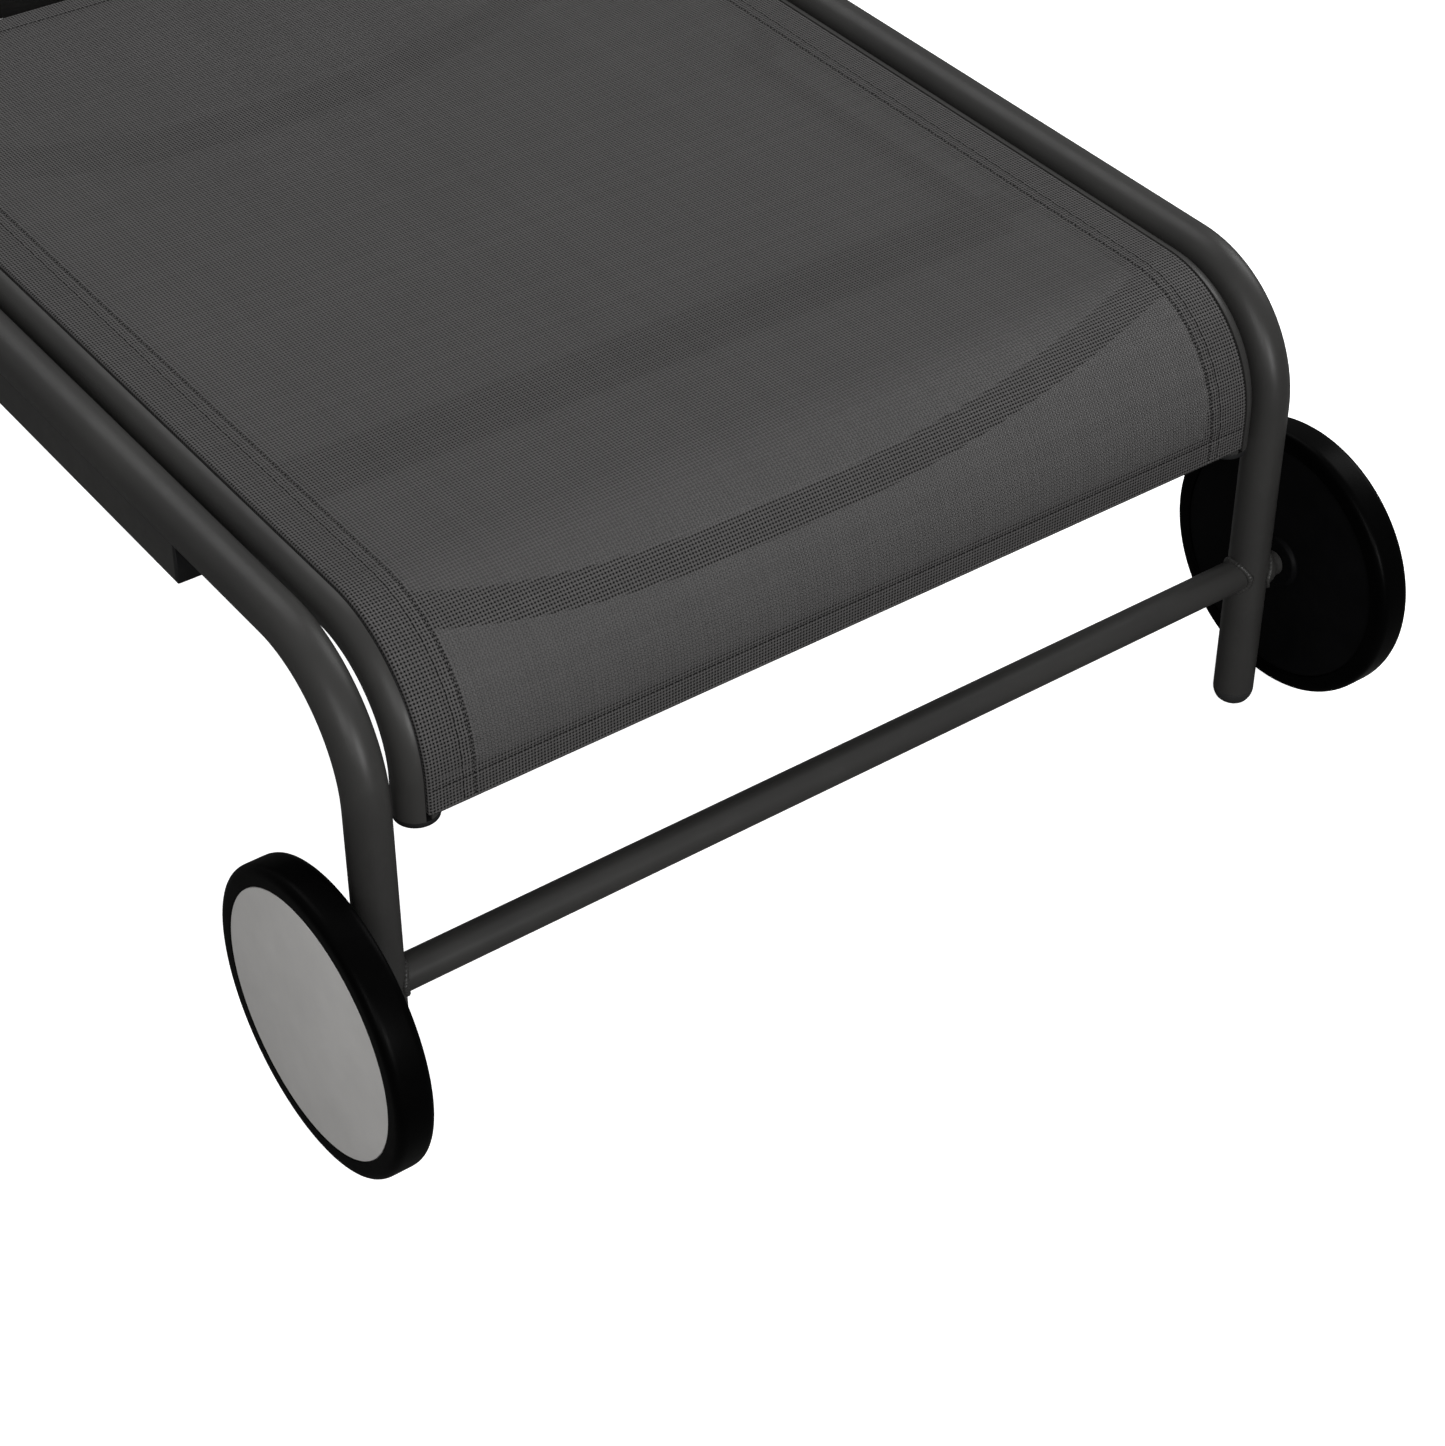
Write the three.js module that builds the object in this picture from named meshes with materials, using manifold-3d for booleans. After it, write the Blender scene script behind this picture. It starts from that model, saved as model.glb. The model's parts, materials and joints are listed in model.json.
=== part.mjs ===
// Reclining sun lounger: a fixed frame of bent tube on two wheels and four feet, a fixed seat
// sling, and a backrest sling that lifts on a rear hinge and is propped by a bail in two racks.
// Millimetres, +Z up, X across, Y along the lounger with the wheels and the head end at -Y.
// Lengthwise places are measured from the head-end crossbar; the group is centred at the end.
import * as THREE from 'three';
import { mergeVertices } from 'three/addons/utils/BufferGeometryUtils.js';
import Module from 'manifold-3d';

const wasm = await Module();
wasm.setup();

// ---- driving dimensions ----
const gap = 0.3;                 // clearance between parts that touch
const tubeR = 14;                // side tubes and sling rails
const tubeWall = 1.5;
const barR = 11.2;               // crossbars and spreaders
const sideX = 346;               // side tube centre line, from the middle
const sideZ = 317.4;             // side tube centre line, above the ground
const crossbarZ = 106.5;
const footLineY = 1850;          // foot-end crossbar, from the head-end crossbar
const legTilt = THREE.MathUtils.degToRad(2.8);
const sideBendR = 85;
const railX = 313;               // sling rail centre line
const railZ = 313.8;
const railBendR = 74;
const railCornerY = 13;          // where the rail's top and tail lines would meet
const railTail = 95.0;           // from that corner down to the rail's open end
const headRailEndY = 786;        // backrest rail, hinge end
const headSlingEndY = 776;
const seatRailStartY = 819;
const seatSlingStartY = 827;
const slingInset = 4;            // sling hem, short of the rail's tail end
const slotWidth = 3.6;           // keder slot along the rail's crown
const kederR = 4;
const kederY = 8.4;              // keder channel, above the rail's centre
const railVoidR = 7.5;
const railVoidY = -4.5;
const plugFlange = 4;
const plugSpigot = 8;
const slingThick = 1.2;
const beadR = 3;
const bowDip = 69;               // how far a spreader hangs at its middle
const bowPower = 2.5;
const headBowYs = [82.6, 688];
const seatBows = [[900, 45], [1370, bowDip], [footLineY - 82.6, bowDip]];
const hingeY = 768;
const hingeZ = 291;              // also the height of the rack slots
const propRestY = 223.5;         // prop cross tube with the backrest flat
const propArmX = 285;
const propArmR = 8;
const propTubeHalf = 294;
const propPinR = 5;
const rackX = [336, 356];
const rackZ = [279.6, 312];
const rackY = [194, 640];
const rackSlotX = 352;
const rackSlotHalf = 6;
const notchAngles = [20, 35, 48, 60, 70];
const standoffYs = [930, 1640];
const axleY = -1.5;
const axleZ = 103.5;
const wheelR = 98.5;
const wheelX = [372.6, 397.5];   // inner and outer face of a tyre
const coverR = 85.3;
const capHeight = 9;             // foot cap below the end of the leg tube

const propY = (hingeY + propRestY) / 2;   // prop pivot, so that the prop is as long as its lever
const originY = 884.49;                   // middle of the whole length

// ---- materials ----
const coat = { color: 0x3b3a3c, roughness: 0.5, metalness: 0.2 };
const blackPlastic = { color: 0x0c0c0d, roughness: 0.6, metalness: 0 };
const rubber = { color: 0x070707, roughness: 0.45, metalness: 0 };
const satinGrey = { color: 0x9b9b98, roughness: 0.4, metalness: 0.3 };
const steel = { color: 0x8d8f92, roughness: 0.35, metalness: 0.9 };
const mesh = { color: 0x444243, roughness: 0.85, metalness: 0 };

const lounger = new THREE.Group();

function add(name, geometry, look) {
  const part = new THREE.Mesh(geometry, new THREE.MeshStandardMaterial(look));
  part.name = name;
  lounger.add(part);
  return part;
}

// ---- solids ----
function solid(geometry) {
  const bare = geometry.clone();
  bare.deleteAttribute('normal');
  bare.deleteAttribute('uv');
  const merged = mergeVertices(bare, 1e-4);
  return new wasm.Manifold(new wasm.Mesh({
    numProp: 3,
    vertProperties: new Float32Array(merged.attributes.position.array),
    triVerts: new Uint32Array(merged.index.array),
  }));
}

function toGeometry(body) {
  const out = body.getMesh();
  const geometry = new THREE.BufferGeometry();
  geometry.setAttribute('position', new THREE.BufferAttribute(out.vertProperties, 3));
  geometry.setIndex(new THREE.BufferAttribute(out.triVerts, 1));
  return geometry;
}

function cut(geometry, ...tools) {
  return toGeometry(tools.reduce((body, tool) => body.subtract(solid(tool)), solid(geometry)));
}

function boxBetween(low, high) {
  const size = high.map((value, i) => value - low[i]);
  return new THREE.BoxGeometry(...size)
    .translate(...low.map((value, i) => value + size[i] / 2));
}

// a turned piece: [position along X, radius] points from one end to the other
function turned(profile, segments, y, z, side = 1) {
  const points = profile.map(([along, radius]) => new THREE.Vector2(radius, along));
  return new THREE.LatheGeometry(points, segments)
    .rotateZ(-Math.PI / 2).rotateY(side > 0 ? 0 : Math.PI).translate(0, y, z);
}

function rod(from, to, radius, y, z, segments = 16) {
  return turned([[from, 0], [from, radius], [to, radius], [to, 0]], segments, y, z);
}

// ---- sweeps ----
function ringPoints(radius, count, centreY = 0) {
  return Array.from({ length: count }, (_, i) => {
    const turn = (2 * Math.PI * i) / count;
    return new THREE.Vector2(radius * Math.cos(turn), centreY + radius * Math.sin(turn));
  });
}

const boreSides = 12;
// what fits inside a tube with a flat-sided bore
const spigotR = (tubeR - tubeWall) * Math.cos(Math.PI / boreSides) - gap;

function tubeSection(radius, count, wall = 0, sides = boreSides) {
  const shape = new THREE.Shape(ringPoints(radius, count));
  if (wall > 0) shape.holes.push(new THREE.Path(ringPoints(radius - wall, sides)));
  return shape;
}

// a flat path with a stop wherever the sweep needs a section, and none along the straights;
// `across` is square to the path's plane, so a section keeps the same side up all the way
class StopPath extends THREE.Curve {
  constructor(stops, across) {
    super();
    this.stops = stops;
    this.across = across;
  }
  getPointAt(u) {
    return this.stops[Math.round(u * (this.stops.length - 1))].point.clone();
  }
  getTangentAt(u) {
    return this.stops[Math.round(u * (this.stops.length - 1))].tangent.clone();
  }
  computeFrenetFrames() {
    const tangents = this.stops.map((stop) => stop.tangent);
    const normals = this.stops.map(() => this.across);
    const binormals = tangents.map((tangent) => tangent.clone().cross(this.across));
    return { tangents, normals, binormals };
  }
}

const alongLounger = new THREE.Vector3(-1, 0, 0);
const acrossLounger = new THREE.Vector3(0, 1, 0);

function sweep(shape, stops, across = alongLounger) {
  const options = { steps: stops.length - 1, extrudePath: new StopPath(stops, across) };
  return new THREE.ExtrudeGeometry(shape, options);
}

// stops along a line of corners in the plane X = x, with each inner corner rounded to an arc
function bentStops(x, corners, radius, arcSteps) {
  const points = corners.map(([y, z]) => new THREE.Vector3(x, y, z));
  const heading = (i) => points[i + 1].clone().sub(points[i]).normalize();
  const stops = [{ point: points[0], tangent: heading(0) }];
  for (let i = 1; i < points.length - 1; i++) {
    const before = heading(i - 1);
    const after = heading(i);
    const bend = before.angleTo(after);
    const start = points[i].clone().addScaledVector(before, -radius * Math.tan(bend / 2));
    const inward = after.clone().addScaledVector(before, -before.dot(after)).normalize();
    for (let step = 0; step <= arcSteps; step++) {
      const turn = (bend * step) / arcSteps;
      stops.push({
        point: start.clone().addScaledVector(before, radius * Math.sin(turn))
          .addScaledVector(inward, radius * (1 - Math.cos(turn))),
        tangent: before.clone().multiplyScalar(Math.cos(turn))
          .addScaledVector(inward, Math.sin(turn)),
      });
    }
  }
  const last = points.length - 1;
  stops.push({ point: points[last], tangent: heading(last - 1) });
  return stops;
}

const toFootEnd = ([y, z]) => [footLineY - y, z];

// side tube: a point on the head-end leg line at a given height
const legPoint = (z) => [(z - crossbarZ) * Math.tan(legTilt), z];
const sideCorners = [legPoint(capHeight), legPoint(sideZ),
  toFootEnd(legPoint(sideZ)), toFootEnd(legPoint(capHeight))];
const sideStops = (side) => bentStops(side * sideX, sideCorners, sideBendR, 6);
const sideEnvelope = (side) => sweep(tubeSection(tubeR + gap, 16), sideStops(side));

// sling rail: the tail runs parallel to the leg
const tailPoint = (length) => [railCornerY - length * Math.sin(legTilt),
  railZ - length * Math.cos(legTilt)];
const railCorner = [railCornerY, railZ];
const headRail = (tail, endY) => [tailPoint(tail), railCorner, [endY, railZ]];
const seatRail = (tail, startY) => [[startY, railZ], toFootEnd(railCorner),
  toFootEnd(tailPoint(tail))];
const railStops = (x, corners) => bentStops(x, corners, railBendR, 6);
const headEnvelope = (side) => sweep(tubeSection(tubeR + gap, 16),
  railStops(side * railX, headRail(railTail, headRailEndY)));
const seatEnvelope = (side) => sweep(tubeSection(tubeR + gap, 16),
  railStops(side * railX, seatRail(railTail, seatRailStartY)));

// ---- fixed frame ----
function sideTube(side) {
  return sweep(tubeSection(tubeR, 16, tubeWall), sideStops(side));
}

function crossbar(y) {
  const end = sideX - 6;
  const bore = rod(-end - 1, end + 1, barR - tubeWall, y, crossbarZ, 8);
  return cut(rod(-end, end, barR, y, crossbarZ, 16), bore, sideEnvelope(-1), sideEnvelope(1));
}

// a rounded cap pushed into the end of a leg, with a level sole
function footCap(side, atFootEnd) {
  const profile = [[0, -2], [9.5, -2], [12.6, 1.2], [tubeR, 4.2], [tubeR, capHeight - gap],
    [spigotR, capHeight - gap], [spigotR, capHeight + 12], [0, capHeight + 12]];
  const cap = new THREE.LatheGeometry(profile.map((p) => new THREE.Vector2(...p)), 16);
  cap.rotateX(Math.PI / 2 - legTilt);
  const [y] = legPoint(0);
  cap.translate(0, y, 0);
  if (atFootEnd) cap.rotateZ(Math.PI).translate(0, footLineY, 0);
  cap.translate(side * sideX, 0, 0);
  return cut(cap, boxBetween([-500, -200, -60], [500, 2200, 0]));
}

function mirrorBox(side, xs, ys, zs) {
  const across = side > 0 ? xs : [-xs[1], -xs[0]];
  return boxBetween([across[0], ys[0], zs[0]], [across[1], ys[1], zs[1]]);
}

// rack: a bar under the side tube with an inward slot and notches in the slot's floor
function rack(side) {
  const slotZ = [hingeZ - rackSlotHalf, hingeZ + rackSlotHalf];
  const lever = hingeY - propRestY;
  const slotY = [propRestY - 11, hingeY - lever * Math.cos(Math.PI * 70 / 180) + 12];
  const slot = mirrorBox(side, [rackX[0] - 1, rackSlotX], slotY, slotZ);
  const notches = notchAngles.map((angle) => {
    const y = hingeY - lever * Math.cos(THREE.MathUtils.degToRad(angle));
    return turned([[rackX[0] - 1, 0], [rackX[0] - 1, 5.5], [rackSlotX, 5.5], [rackSlotX, 0]],
      12, y, slotZ[0] + 1.6, side);
  });
  const bar = mirrorBox(side, rackX, rackY, rackZ);
  return cut(bar, slot, ...notches, sideEnvelope(side));
}

function rackCap(side, from, to) {
  return cut(mirrorBox(side, rackX, [from, to], rackZ), sideEnvelope(side));
}

function plate(side, xs, y, halfWidth, bottom, top, holeR, holeZ, envelope) {
  const foot = turned([[xs[0], 0], [xs[0], halfWidth], [xs[1], halfWidth], [xs[1], 0]],
    16, y, bottom + halfWidth, side);
  const upper = mirrorBox(side, xs, [y - halfWidth, y + halfWidth], [bottom + halfWidth, top]);
  const hole = turned([[xs[0] - 1, 0], [xs[0] - 1, holeR], [xs[1] + 1, holeR],
    [xs[1] + 1, 0]], 12, y, holeZ, side);
  return toGeometry(solid(foot).add(solid(upper)).subtract(solid(hole))
    .subtract(solid(envelope)));
}

// a shouldered rivet along X: head, shank, shoulder between the two plates, shank, peened tail
function rivet(side, y, z, [headX, firstX, shoulderX, shoulderEndX, tailX, endX]) {
  const shankR = 4;
  return turned([[headX, 0], [headX, 5], [firstX - 1, 7], [firstX, 7], [firstX, shankR],
    [shoulderX, shankR], [shoulderX, 6.5], [shoulderEndX, 6.5], [shoulderEndX, shankR],
    [tailX, shankR], [tailX, 6], [endX, 5], [endX, 0]], 12, y, z, side);
}

function stubAxle(side) {
  const boss = turned([[sideX + 8, 0], [sideX + 8, 12], [sideX + 15, 11], [sideX + 19, 9],
    [369.5, 9], [369.5, 6], [391.4, 6], [391.4, 0]], 16, axleY, axleZ, side);
  return cut(boss, sideEnvelope(side));
}

function standoff(side, y) {
  const slug = turned([[railX + 12, 0], [railX + 12, 6], [sideX - 12, 6], [sideX - 12, 0]],
    12, y, (sideZ + railZ) / 2, side);
  return cut(slug, sideEnvelope(side), seatEnvelope(side));
}

// ---- wheels ----
const wheelSides = 32;

function closedRing(points, segments, side) {
  return turned([...points, points[0]], segments, axleY, axleZ, side);
}

function tyre(side) {
  const inner = coverR + 0.5;
  const [x0, x1] = wheelX;
  return closedRing([[x0, inner], [x0, wheelR - 5], [x0 + 1.5, wheelR - 1.5], [x0 + 5, wheelR],
    [x1 - 5, wheelR], [x1 - 1.5, wheelR - 1.5], [x1, wheelR - 5], [x1, inner]], wheelSides,
  side);
}

function wheelHub(side) {
  const rimR = coverR + 0.2;
  return closedRing([[370.2, 6.5], [370.2, 17], [373.4, 17], [373.4, rimR], [394, rimR],
    [394, 80], [377.4, 80], [377.4, 17], [387.6, 17], [387.6, 6.5]], wheelSides, side);
}

function wheelCover(side) {
  return turned([[394.3, 0], [394.3, coverR], [396.8, coverR], [397.3, coverR - 0.6],
    [397.3, 0]], wheelSides, axleY, axleZ, side);
}

function axleRetainer(side) {
  return closedRing([[388, 6.3], [388, 11], [390, 11], [390, 6.3]], 16, side);
}

// ---- slings and their rails ----
// rail section: a round tube with a keder channel that opens in a slot along its crown
function railSection() {
  const half = slotWidth / 2;
  const edge = Math.asin(half / tubeR);
  const mouth = Math.asin(half / kederR);
  const outer = Array.from({ length: 17 }, (_, i) => {
    const turn = Math.PI / 2 - edge - ((2 * Math.PI - 2 * edge) * i) / 16;
    return new THREE.Vector2(tubeR * Math.cos(turn), tubeR * Math.sin(turn));
  });
  const channel = Array.from({ length: 8 }, (_, i) => {
    const turn = Math.PI / 2 + mouth + ((2 * Math.PI - 2 * mouth) * i) / 7;
    return new THREE.Vector2(kederR * Math.cos(turn), kederY + kederR * Math.sin(turn));
  });
  const shape = new THREE.Shape([...outer, ...channel]);
  shape.holes.push(new THREE.Path(ringPoints(railVoidR, 10, railVoidY)));
  return shape;
}

// end plug at a rail's open end, turned about X by `heading` from facing +Y; `crown` is the
// side of the plug, +1 or -1, that the rail's slot is on before the plug is turned
function railPlug(side, [y, z], heading, crown) {
  const disc = new THREE.LatheGeometry([[0, gap], [tubeR, gap], [tubeR, plugFlange - 1.2],
    [tubeR - 1.6, plugFlange], [0, plugFlange]].map((p) => new THREE.Vector2(...p)), 16);
  const spigot = new THREE.LatheGeometry([[0, -plugSpigot], [railVoidR - 0.8, -plugSpigot],
    [railVoidR - 0.8, 1], [0, 1]].map((p) => new THREE.Vector2(...p)), 10);
  spigot.translate(0, 0, crown * railVoidY);
  const plug = toGeometry(solid(disc).add(solid(spigot)));
  return plug.rotateX(heading).translate(side * railX, y, z);
}

// sling section: a sheet over both rails' crowns with a bead in each keder channel
function slingSection() {
  const half = slingThick / 2;
  const under = tubeR + gap;
  const edge = (side) => {
    const mouth = Math.asin(half / beadR);
    const bead = Array.from({ length: 7 }, (_, i) => {
      const turn = Math.PI / 2 - mouth - ((2 * Math.PI - 2 * mouth) * i) / 6;
      return [railX + beadR * Math.cos(turn), kederY + beadR * Math.sin(turn)];
    });
    const points = [[railX + half, under + slingThick], ...bead, [railX - half, under]];
    return points.map(([x, y]) => new THREE.Vector2(side * x, y));
  };
  return new THREE.Shape([...edge(1), ...edge(-1).reverse()]);
}

// a bowed spreader between two rails
function spreader(y, dip, envelope) {
  const end = railX - 5;
  const count = 10;
  const drop = (x) => dip * (1 - Math.abs(x / railX) ** bowPower);
  const slope = (x) => Math.sign(x) * (dip * bowPower / railX)
    * Math.abs(x / railX) ** (bowPower - 1);
  const stops = Array.from({ length: count + 1 }, (_, i) => {
    const x = -end + (2 * end * i) / count;
    return { point: new THREE.Vector3(x, y, railZ - drop(x)),
      tangent: new THREE.Vector3(1, 0, slope(x)).normalize() };
  });
  const tube = sweep(tubeSection(barR, 12, tubeWall, 8), stops, acrossLounger);
  return cut(tube, envelope(-1), envelope(1));
}

// ---- prop ----
function propBail() {
  const outer = rod(-propTubeHalf, propTubeHalf, tubeR, propRestY, hingeZ, 20);
  const inner = rod(-propTubeHalf - 1, propTubeHalf + 1, tubeR - tubeWall, propRestY,
    hingeZ, boreSides);
  const armLength = propY - propRestY + 9;
  let body = solid(outer);
  for (const side of [-1, 1]) {
    const arm = new THREE.CylinderGeometry(propArmR, propArmR, armLength, 14)
      .translate(side * propArmX, propRestY + armLength / 2, hingeZ);
    const eye = rod(side * propArmX - 12, side * propArmX + 12, 4.5, propY, hingeZ, 14);
    body = body.add(solid(arm)).subtract(solid(eye));
  }
  return toGeometry(body.subtract(solid(inner)));
}

function propPin(side) {
  const tip = rackSlotX - 1.5;
  return turned([[propTubeHalf - 14, 0], [propTubeHalf - 14, spigotR],
    [propTubeHalf + gap, spigotR], [propTubeHalf + gap, tubeR], [propTubeHalf + 2.4, tubeR],
    [propTubeHalf + 2.6, propPinR], [tip - 1, propPinR], [tip, propPinR - 1], [tip, 0]],
  16, propRestY, hingeZ, side);
}

// ---- assembly ----
const sides = [['left', -1], ['right', 1]];
add('head_crossbar', crossbar(0), coat);
add('foot_crossbar', crossbar(footLineY), coat);
headBowYs.forEach((y, i) => {
  add(`backrest_spreader_${['head', 'hinge'][i]}`, spreader(y, bowDip, headEnvelope), coat);
});
seatBows.forEach(([y, dip], i) => {
  add(`seat_spreader_${['front', 'middle', 'foot'][i]}`, spreader(y, dip, seatEnvelope), coat);
});
add('backrest_sling', sweep(slingSection(),
  railStops(0, headRail(railTail - slingInset, headSlingEndY))), mesh);
add('seat_sling', sweep(slingSection(),
  railStops(0, seatRail(railTail - slingInset, seatSlingStartY))), mesh);
add('prop_bail', propBail(), coat);

const downHeadTail = -Math.PI / 2 - legTilt;
const downFootTail = -Math.PI / 2 + legTilt;
for (const [name, side] of sides) {
  add(`side_tube_${name}`, sideTube(side), coat);
  add(`foot_cap_head_${name}`, footCap(side, false), blackPlastic);
  add(`foot_cap_foot_${name}`, footCap(side, true), blackPlastic);
  add(`rack_${name}`, rack(side), coat);
  add(`rack_cap_head_${name}`, rackCap(side, rackY[0] - 3, rackY[0] - gap), blackPlastic);
  add(`rack_cap_hinge_${name}`, rackCap(side, rackY[1] + gap, rackY[1] + 3), blackPlastic);
  add(`hinge_bracket_${name}`, plate(side, [328.2, 333.2], hingeY, 14, hingeZ - 14, 322, 4.5,
    hingeZ, sideEnvelope(side)), coat);
  add(`hinge_lug_${name}`, plate(side, [317, 321], hingeY, 13, hingeZ - 13, 308, 4.5,
    hingeZ, headEnvelope(side)), coat);
  add(`hinge_rivet_${name}`, rivet(side, hingeY, hingeZ,
    [312.6, 316.7, 321.4, 327.8, 333.6, 336.4]), steel);
  add(`prop_ear_${name}`, plate(side, [299, 303], propY, 12, hingeZ - 12, 309, 4.5,
    hingeZ, headEnvelope(side)), coat);
  add(`prop_rivet_${name}`, rivet(-side, propY, hingeZ,
    [-307, -303.3, -298.6, -293.4, -276.6, -274]), steel);
  add(`prop_pin_${name}`, propPin(side), blackPlastic);
  add(`stub_axle_${name}`, stubAxle(side), coat);
  add(`axle_retainer_${name}`, axleRetainer(side), steel);
  add(`wheel_hub_${name}`, wheelHub(side), blackPlastic);
  add(`tyre_${name}`, tyre(side), rubber);
  add(`wheel_cover_${name}`, wheelCover(side), satinGrey);
  standoffYs.forEach((y, i) => {
    add(`seat_standoff_${['front', 'rear'][i]}_${name}`, standoff(side, y), coat);
  });
  add(`backrest_rail_${name}`, sweep(railSection(),
    railStops(side * railX, headRail(railTail, headRailEndY))), coat);
  add(`seat_rail_${name}`, sweep(railSection(),
    railStops(side * railX, seatRail(railTail, seatRailStartY))), coat);
  const plugs = [
    ['backrest_plug_head', tailPoint(railTail), downHeadTail, -1],
    ['backrest_plug_hinge', [headRailEndY, railZ], 0, 1],
    ['seat_plug_hinge', [seatRailStartY, railZ], Math.PI, -1],
    ['seat_plug_foot', toFootEnd(tailPoint(railTail)), downFootTail, 1],
  ];
  for (const [plug, place, heading, crown] of plugs) {
    add(`${plug}_${name}`, railPlug(side, place, heading, crown), blackPlastic);
  }
}

lounger.position.y = -originY;
export default lounger;
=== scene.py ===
# Reclining sun lounger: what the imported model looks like. Metres, +Z up, wheels at -Y.
import json
import math

import bmesh
import bpy
import numpy as np
from mathutils import Matrix


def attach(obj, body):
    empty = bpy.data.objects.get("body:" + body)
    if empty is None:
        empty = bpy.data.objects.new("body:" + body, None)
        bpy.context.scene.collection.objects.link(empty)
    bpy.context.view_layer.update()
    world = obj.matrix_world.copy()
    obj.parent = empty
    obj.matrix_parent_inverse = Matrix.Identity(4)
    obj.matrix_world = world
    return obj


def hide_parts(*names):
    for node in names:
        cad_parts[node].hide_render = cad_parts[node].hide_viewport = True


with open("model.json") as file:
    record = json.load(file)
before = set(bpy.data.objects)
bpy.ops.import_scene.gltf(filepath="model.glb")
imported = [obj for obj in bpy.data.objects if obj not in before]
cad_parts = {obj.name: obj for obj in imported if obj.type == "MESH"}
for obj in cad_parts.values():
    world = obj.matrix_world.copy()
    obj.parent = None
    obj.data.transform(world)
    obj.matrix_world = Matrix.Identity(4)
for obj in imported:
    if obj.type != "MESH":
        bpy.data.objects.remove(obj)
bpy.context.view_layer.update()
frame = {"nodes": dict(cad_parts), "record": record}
print("frame loaded:", len(frame["nodes"]), "nodes")

sides = {"left": -1, "right": 1}

# sizes that several pieces share, in metres; y is measured from the head-end crossbar
lounger = {
    "originY": 0.88449,  # from the head-end crossbar to the model's own middle
    "tubeR": 0.014,
    "tubeWall": 0.0015,
    "barR": 0.0112,
    "sideX": 0.346,
    "sideZ": 0.3174,
    "crossbarZ": 0.1065,
    "footLineY": 1.850,
    "legTilt": math.radians(2.8),
    "sideBendR": 0.085,
    "capHeight": 0.009,
    "railX": 0.313,
    "railZ": 0.3138,
    "railBendR": 0.074,
    "railCornerY": 0.013,
    "railTail": 0.0950,
    "axleY": -0.0015,
    "axleZ": 0.1035,
}

camera = {
    "place": (-0.99914, -2.02106, 1.40340),
    "heading": 38.2417,  # degrees, turned from +Y towards +X
    "dip": 40.0709,
    "roll": -2.1791,
    "lens": 78.85,
}

studio = {
    "floor": (0.9, 0.9, 0.895),
    "floorBounce": (0.16, 0.16, 0.158),  # the floor's colour for light that bounces off it
    "floorGlow": 0.9,
    "sky": (1.0, 1.0, 1.0),
    "skyLow": 0.16,
    "skyHigh": 0.45,
    # name: (place, aimed at, width, height, watts)
    "lamps": {
        "frontBox": ((-2.0, -3.4, 2.2), (0.0, -0.6, 0.2), 1.6, 1.6, 34.0),
        "lowBox": ((-0.3, -3.9, 1.15), (0.0, -0.9, 0.28), 0.7, 0.5, 38.0),
        "rightBox": ((3.0, -0.6, 2.4), (0.2, -0.7, 0.3), 1.2, 2.4, 34.0),
        "topBox": ((0.2, 1.4, 3.2), (0.0, -0.2, 0.3), 2.4, 2.4, 30.0),
    },
}


# camera and light
def aimedCamera(c):
    # forward comes from heading and dip; right and down are turned about it by roll
    yaw, pitch, roll = (math.radians(c[key]) for key in ("heading", "dip", "roll"))
    forward = np.array([math.sin(yaw) * math.cos(pitch), math.cos(yaw) * math.cos(pitch),
                        -math.sin(pitch)])
    level = np.array([math.cos(yaw), -math.sin(yaw), 0.0])
    down = np.cross(forward, level)
    right = level * math.cos(roll) + down * math.sin(roll)
    under = down * math.cos(roll) - level * math.sin(roll)
    turn = np.column_stack([right, -under, -forward])
    data = bpy.data.cameras.new("camera")
    data.lens = c["lens"]
    data.sensor_width = 36.0
    data.clip_end = 100.0
    obj = bpy.data.objects.new("camera", data)
    obj.matrix_world = Matrix.Translation(c["place"]) @ Matrix(turn.tolist()).to_4x4()
    bpy.context.scene.collection.objects.link(obj)
    bpy.context.scene.camera = obj


def areaLamp(name, place, target, width, height, watts):
    data = bpy.data.lights.new(name, "AREA")
    data.shape = "RECTANGLE"
    data.size, data.size_y = width, height
    data.energy = watts
    obj = bpy.data.objects.new(name, data)
    back = np.array(place, float) - np.array(target, float)
    back /= np.linalg.norm(back)
    right = np.cross((0.0, 0.0, 1.0), back)
    right /= np.linalg.norm(right)
    turn = np.column_stack([right, np.cross(back, right), back])
    obj.matrix_world = Matrix.Translation(place) @ Matrix(turn.tolist()).to_4x4()
    bpy.context.scene.collection.objects.link(obj)


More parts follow.
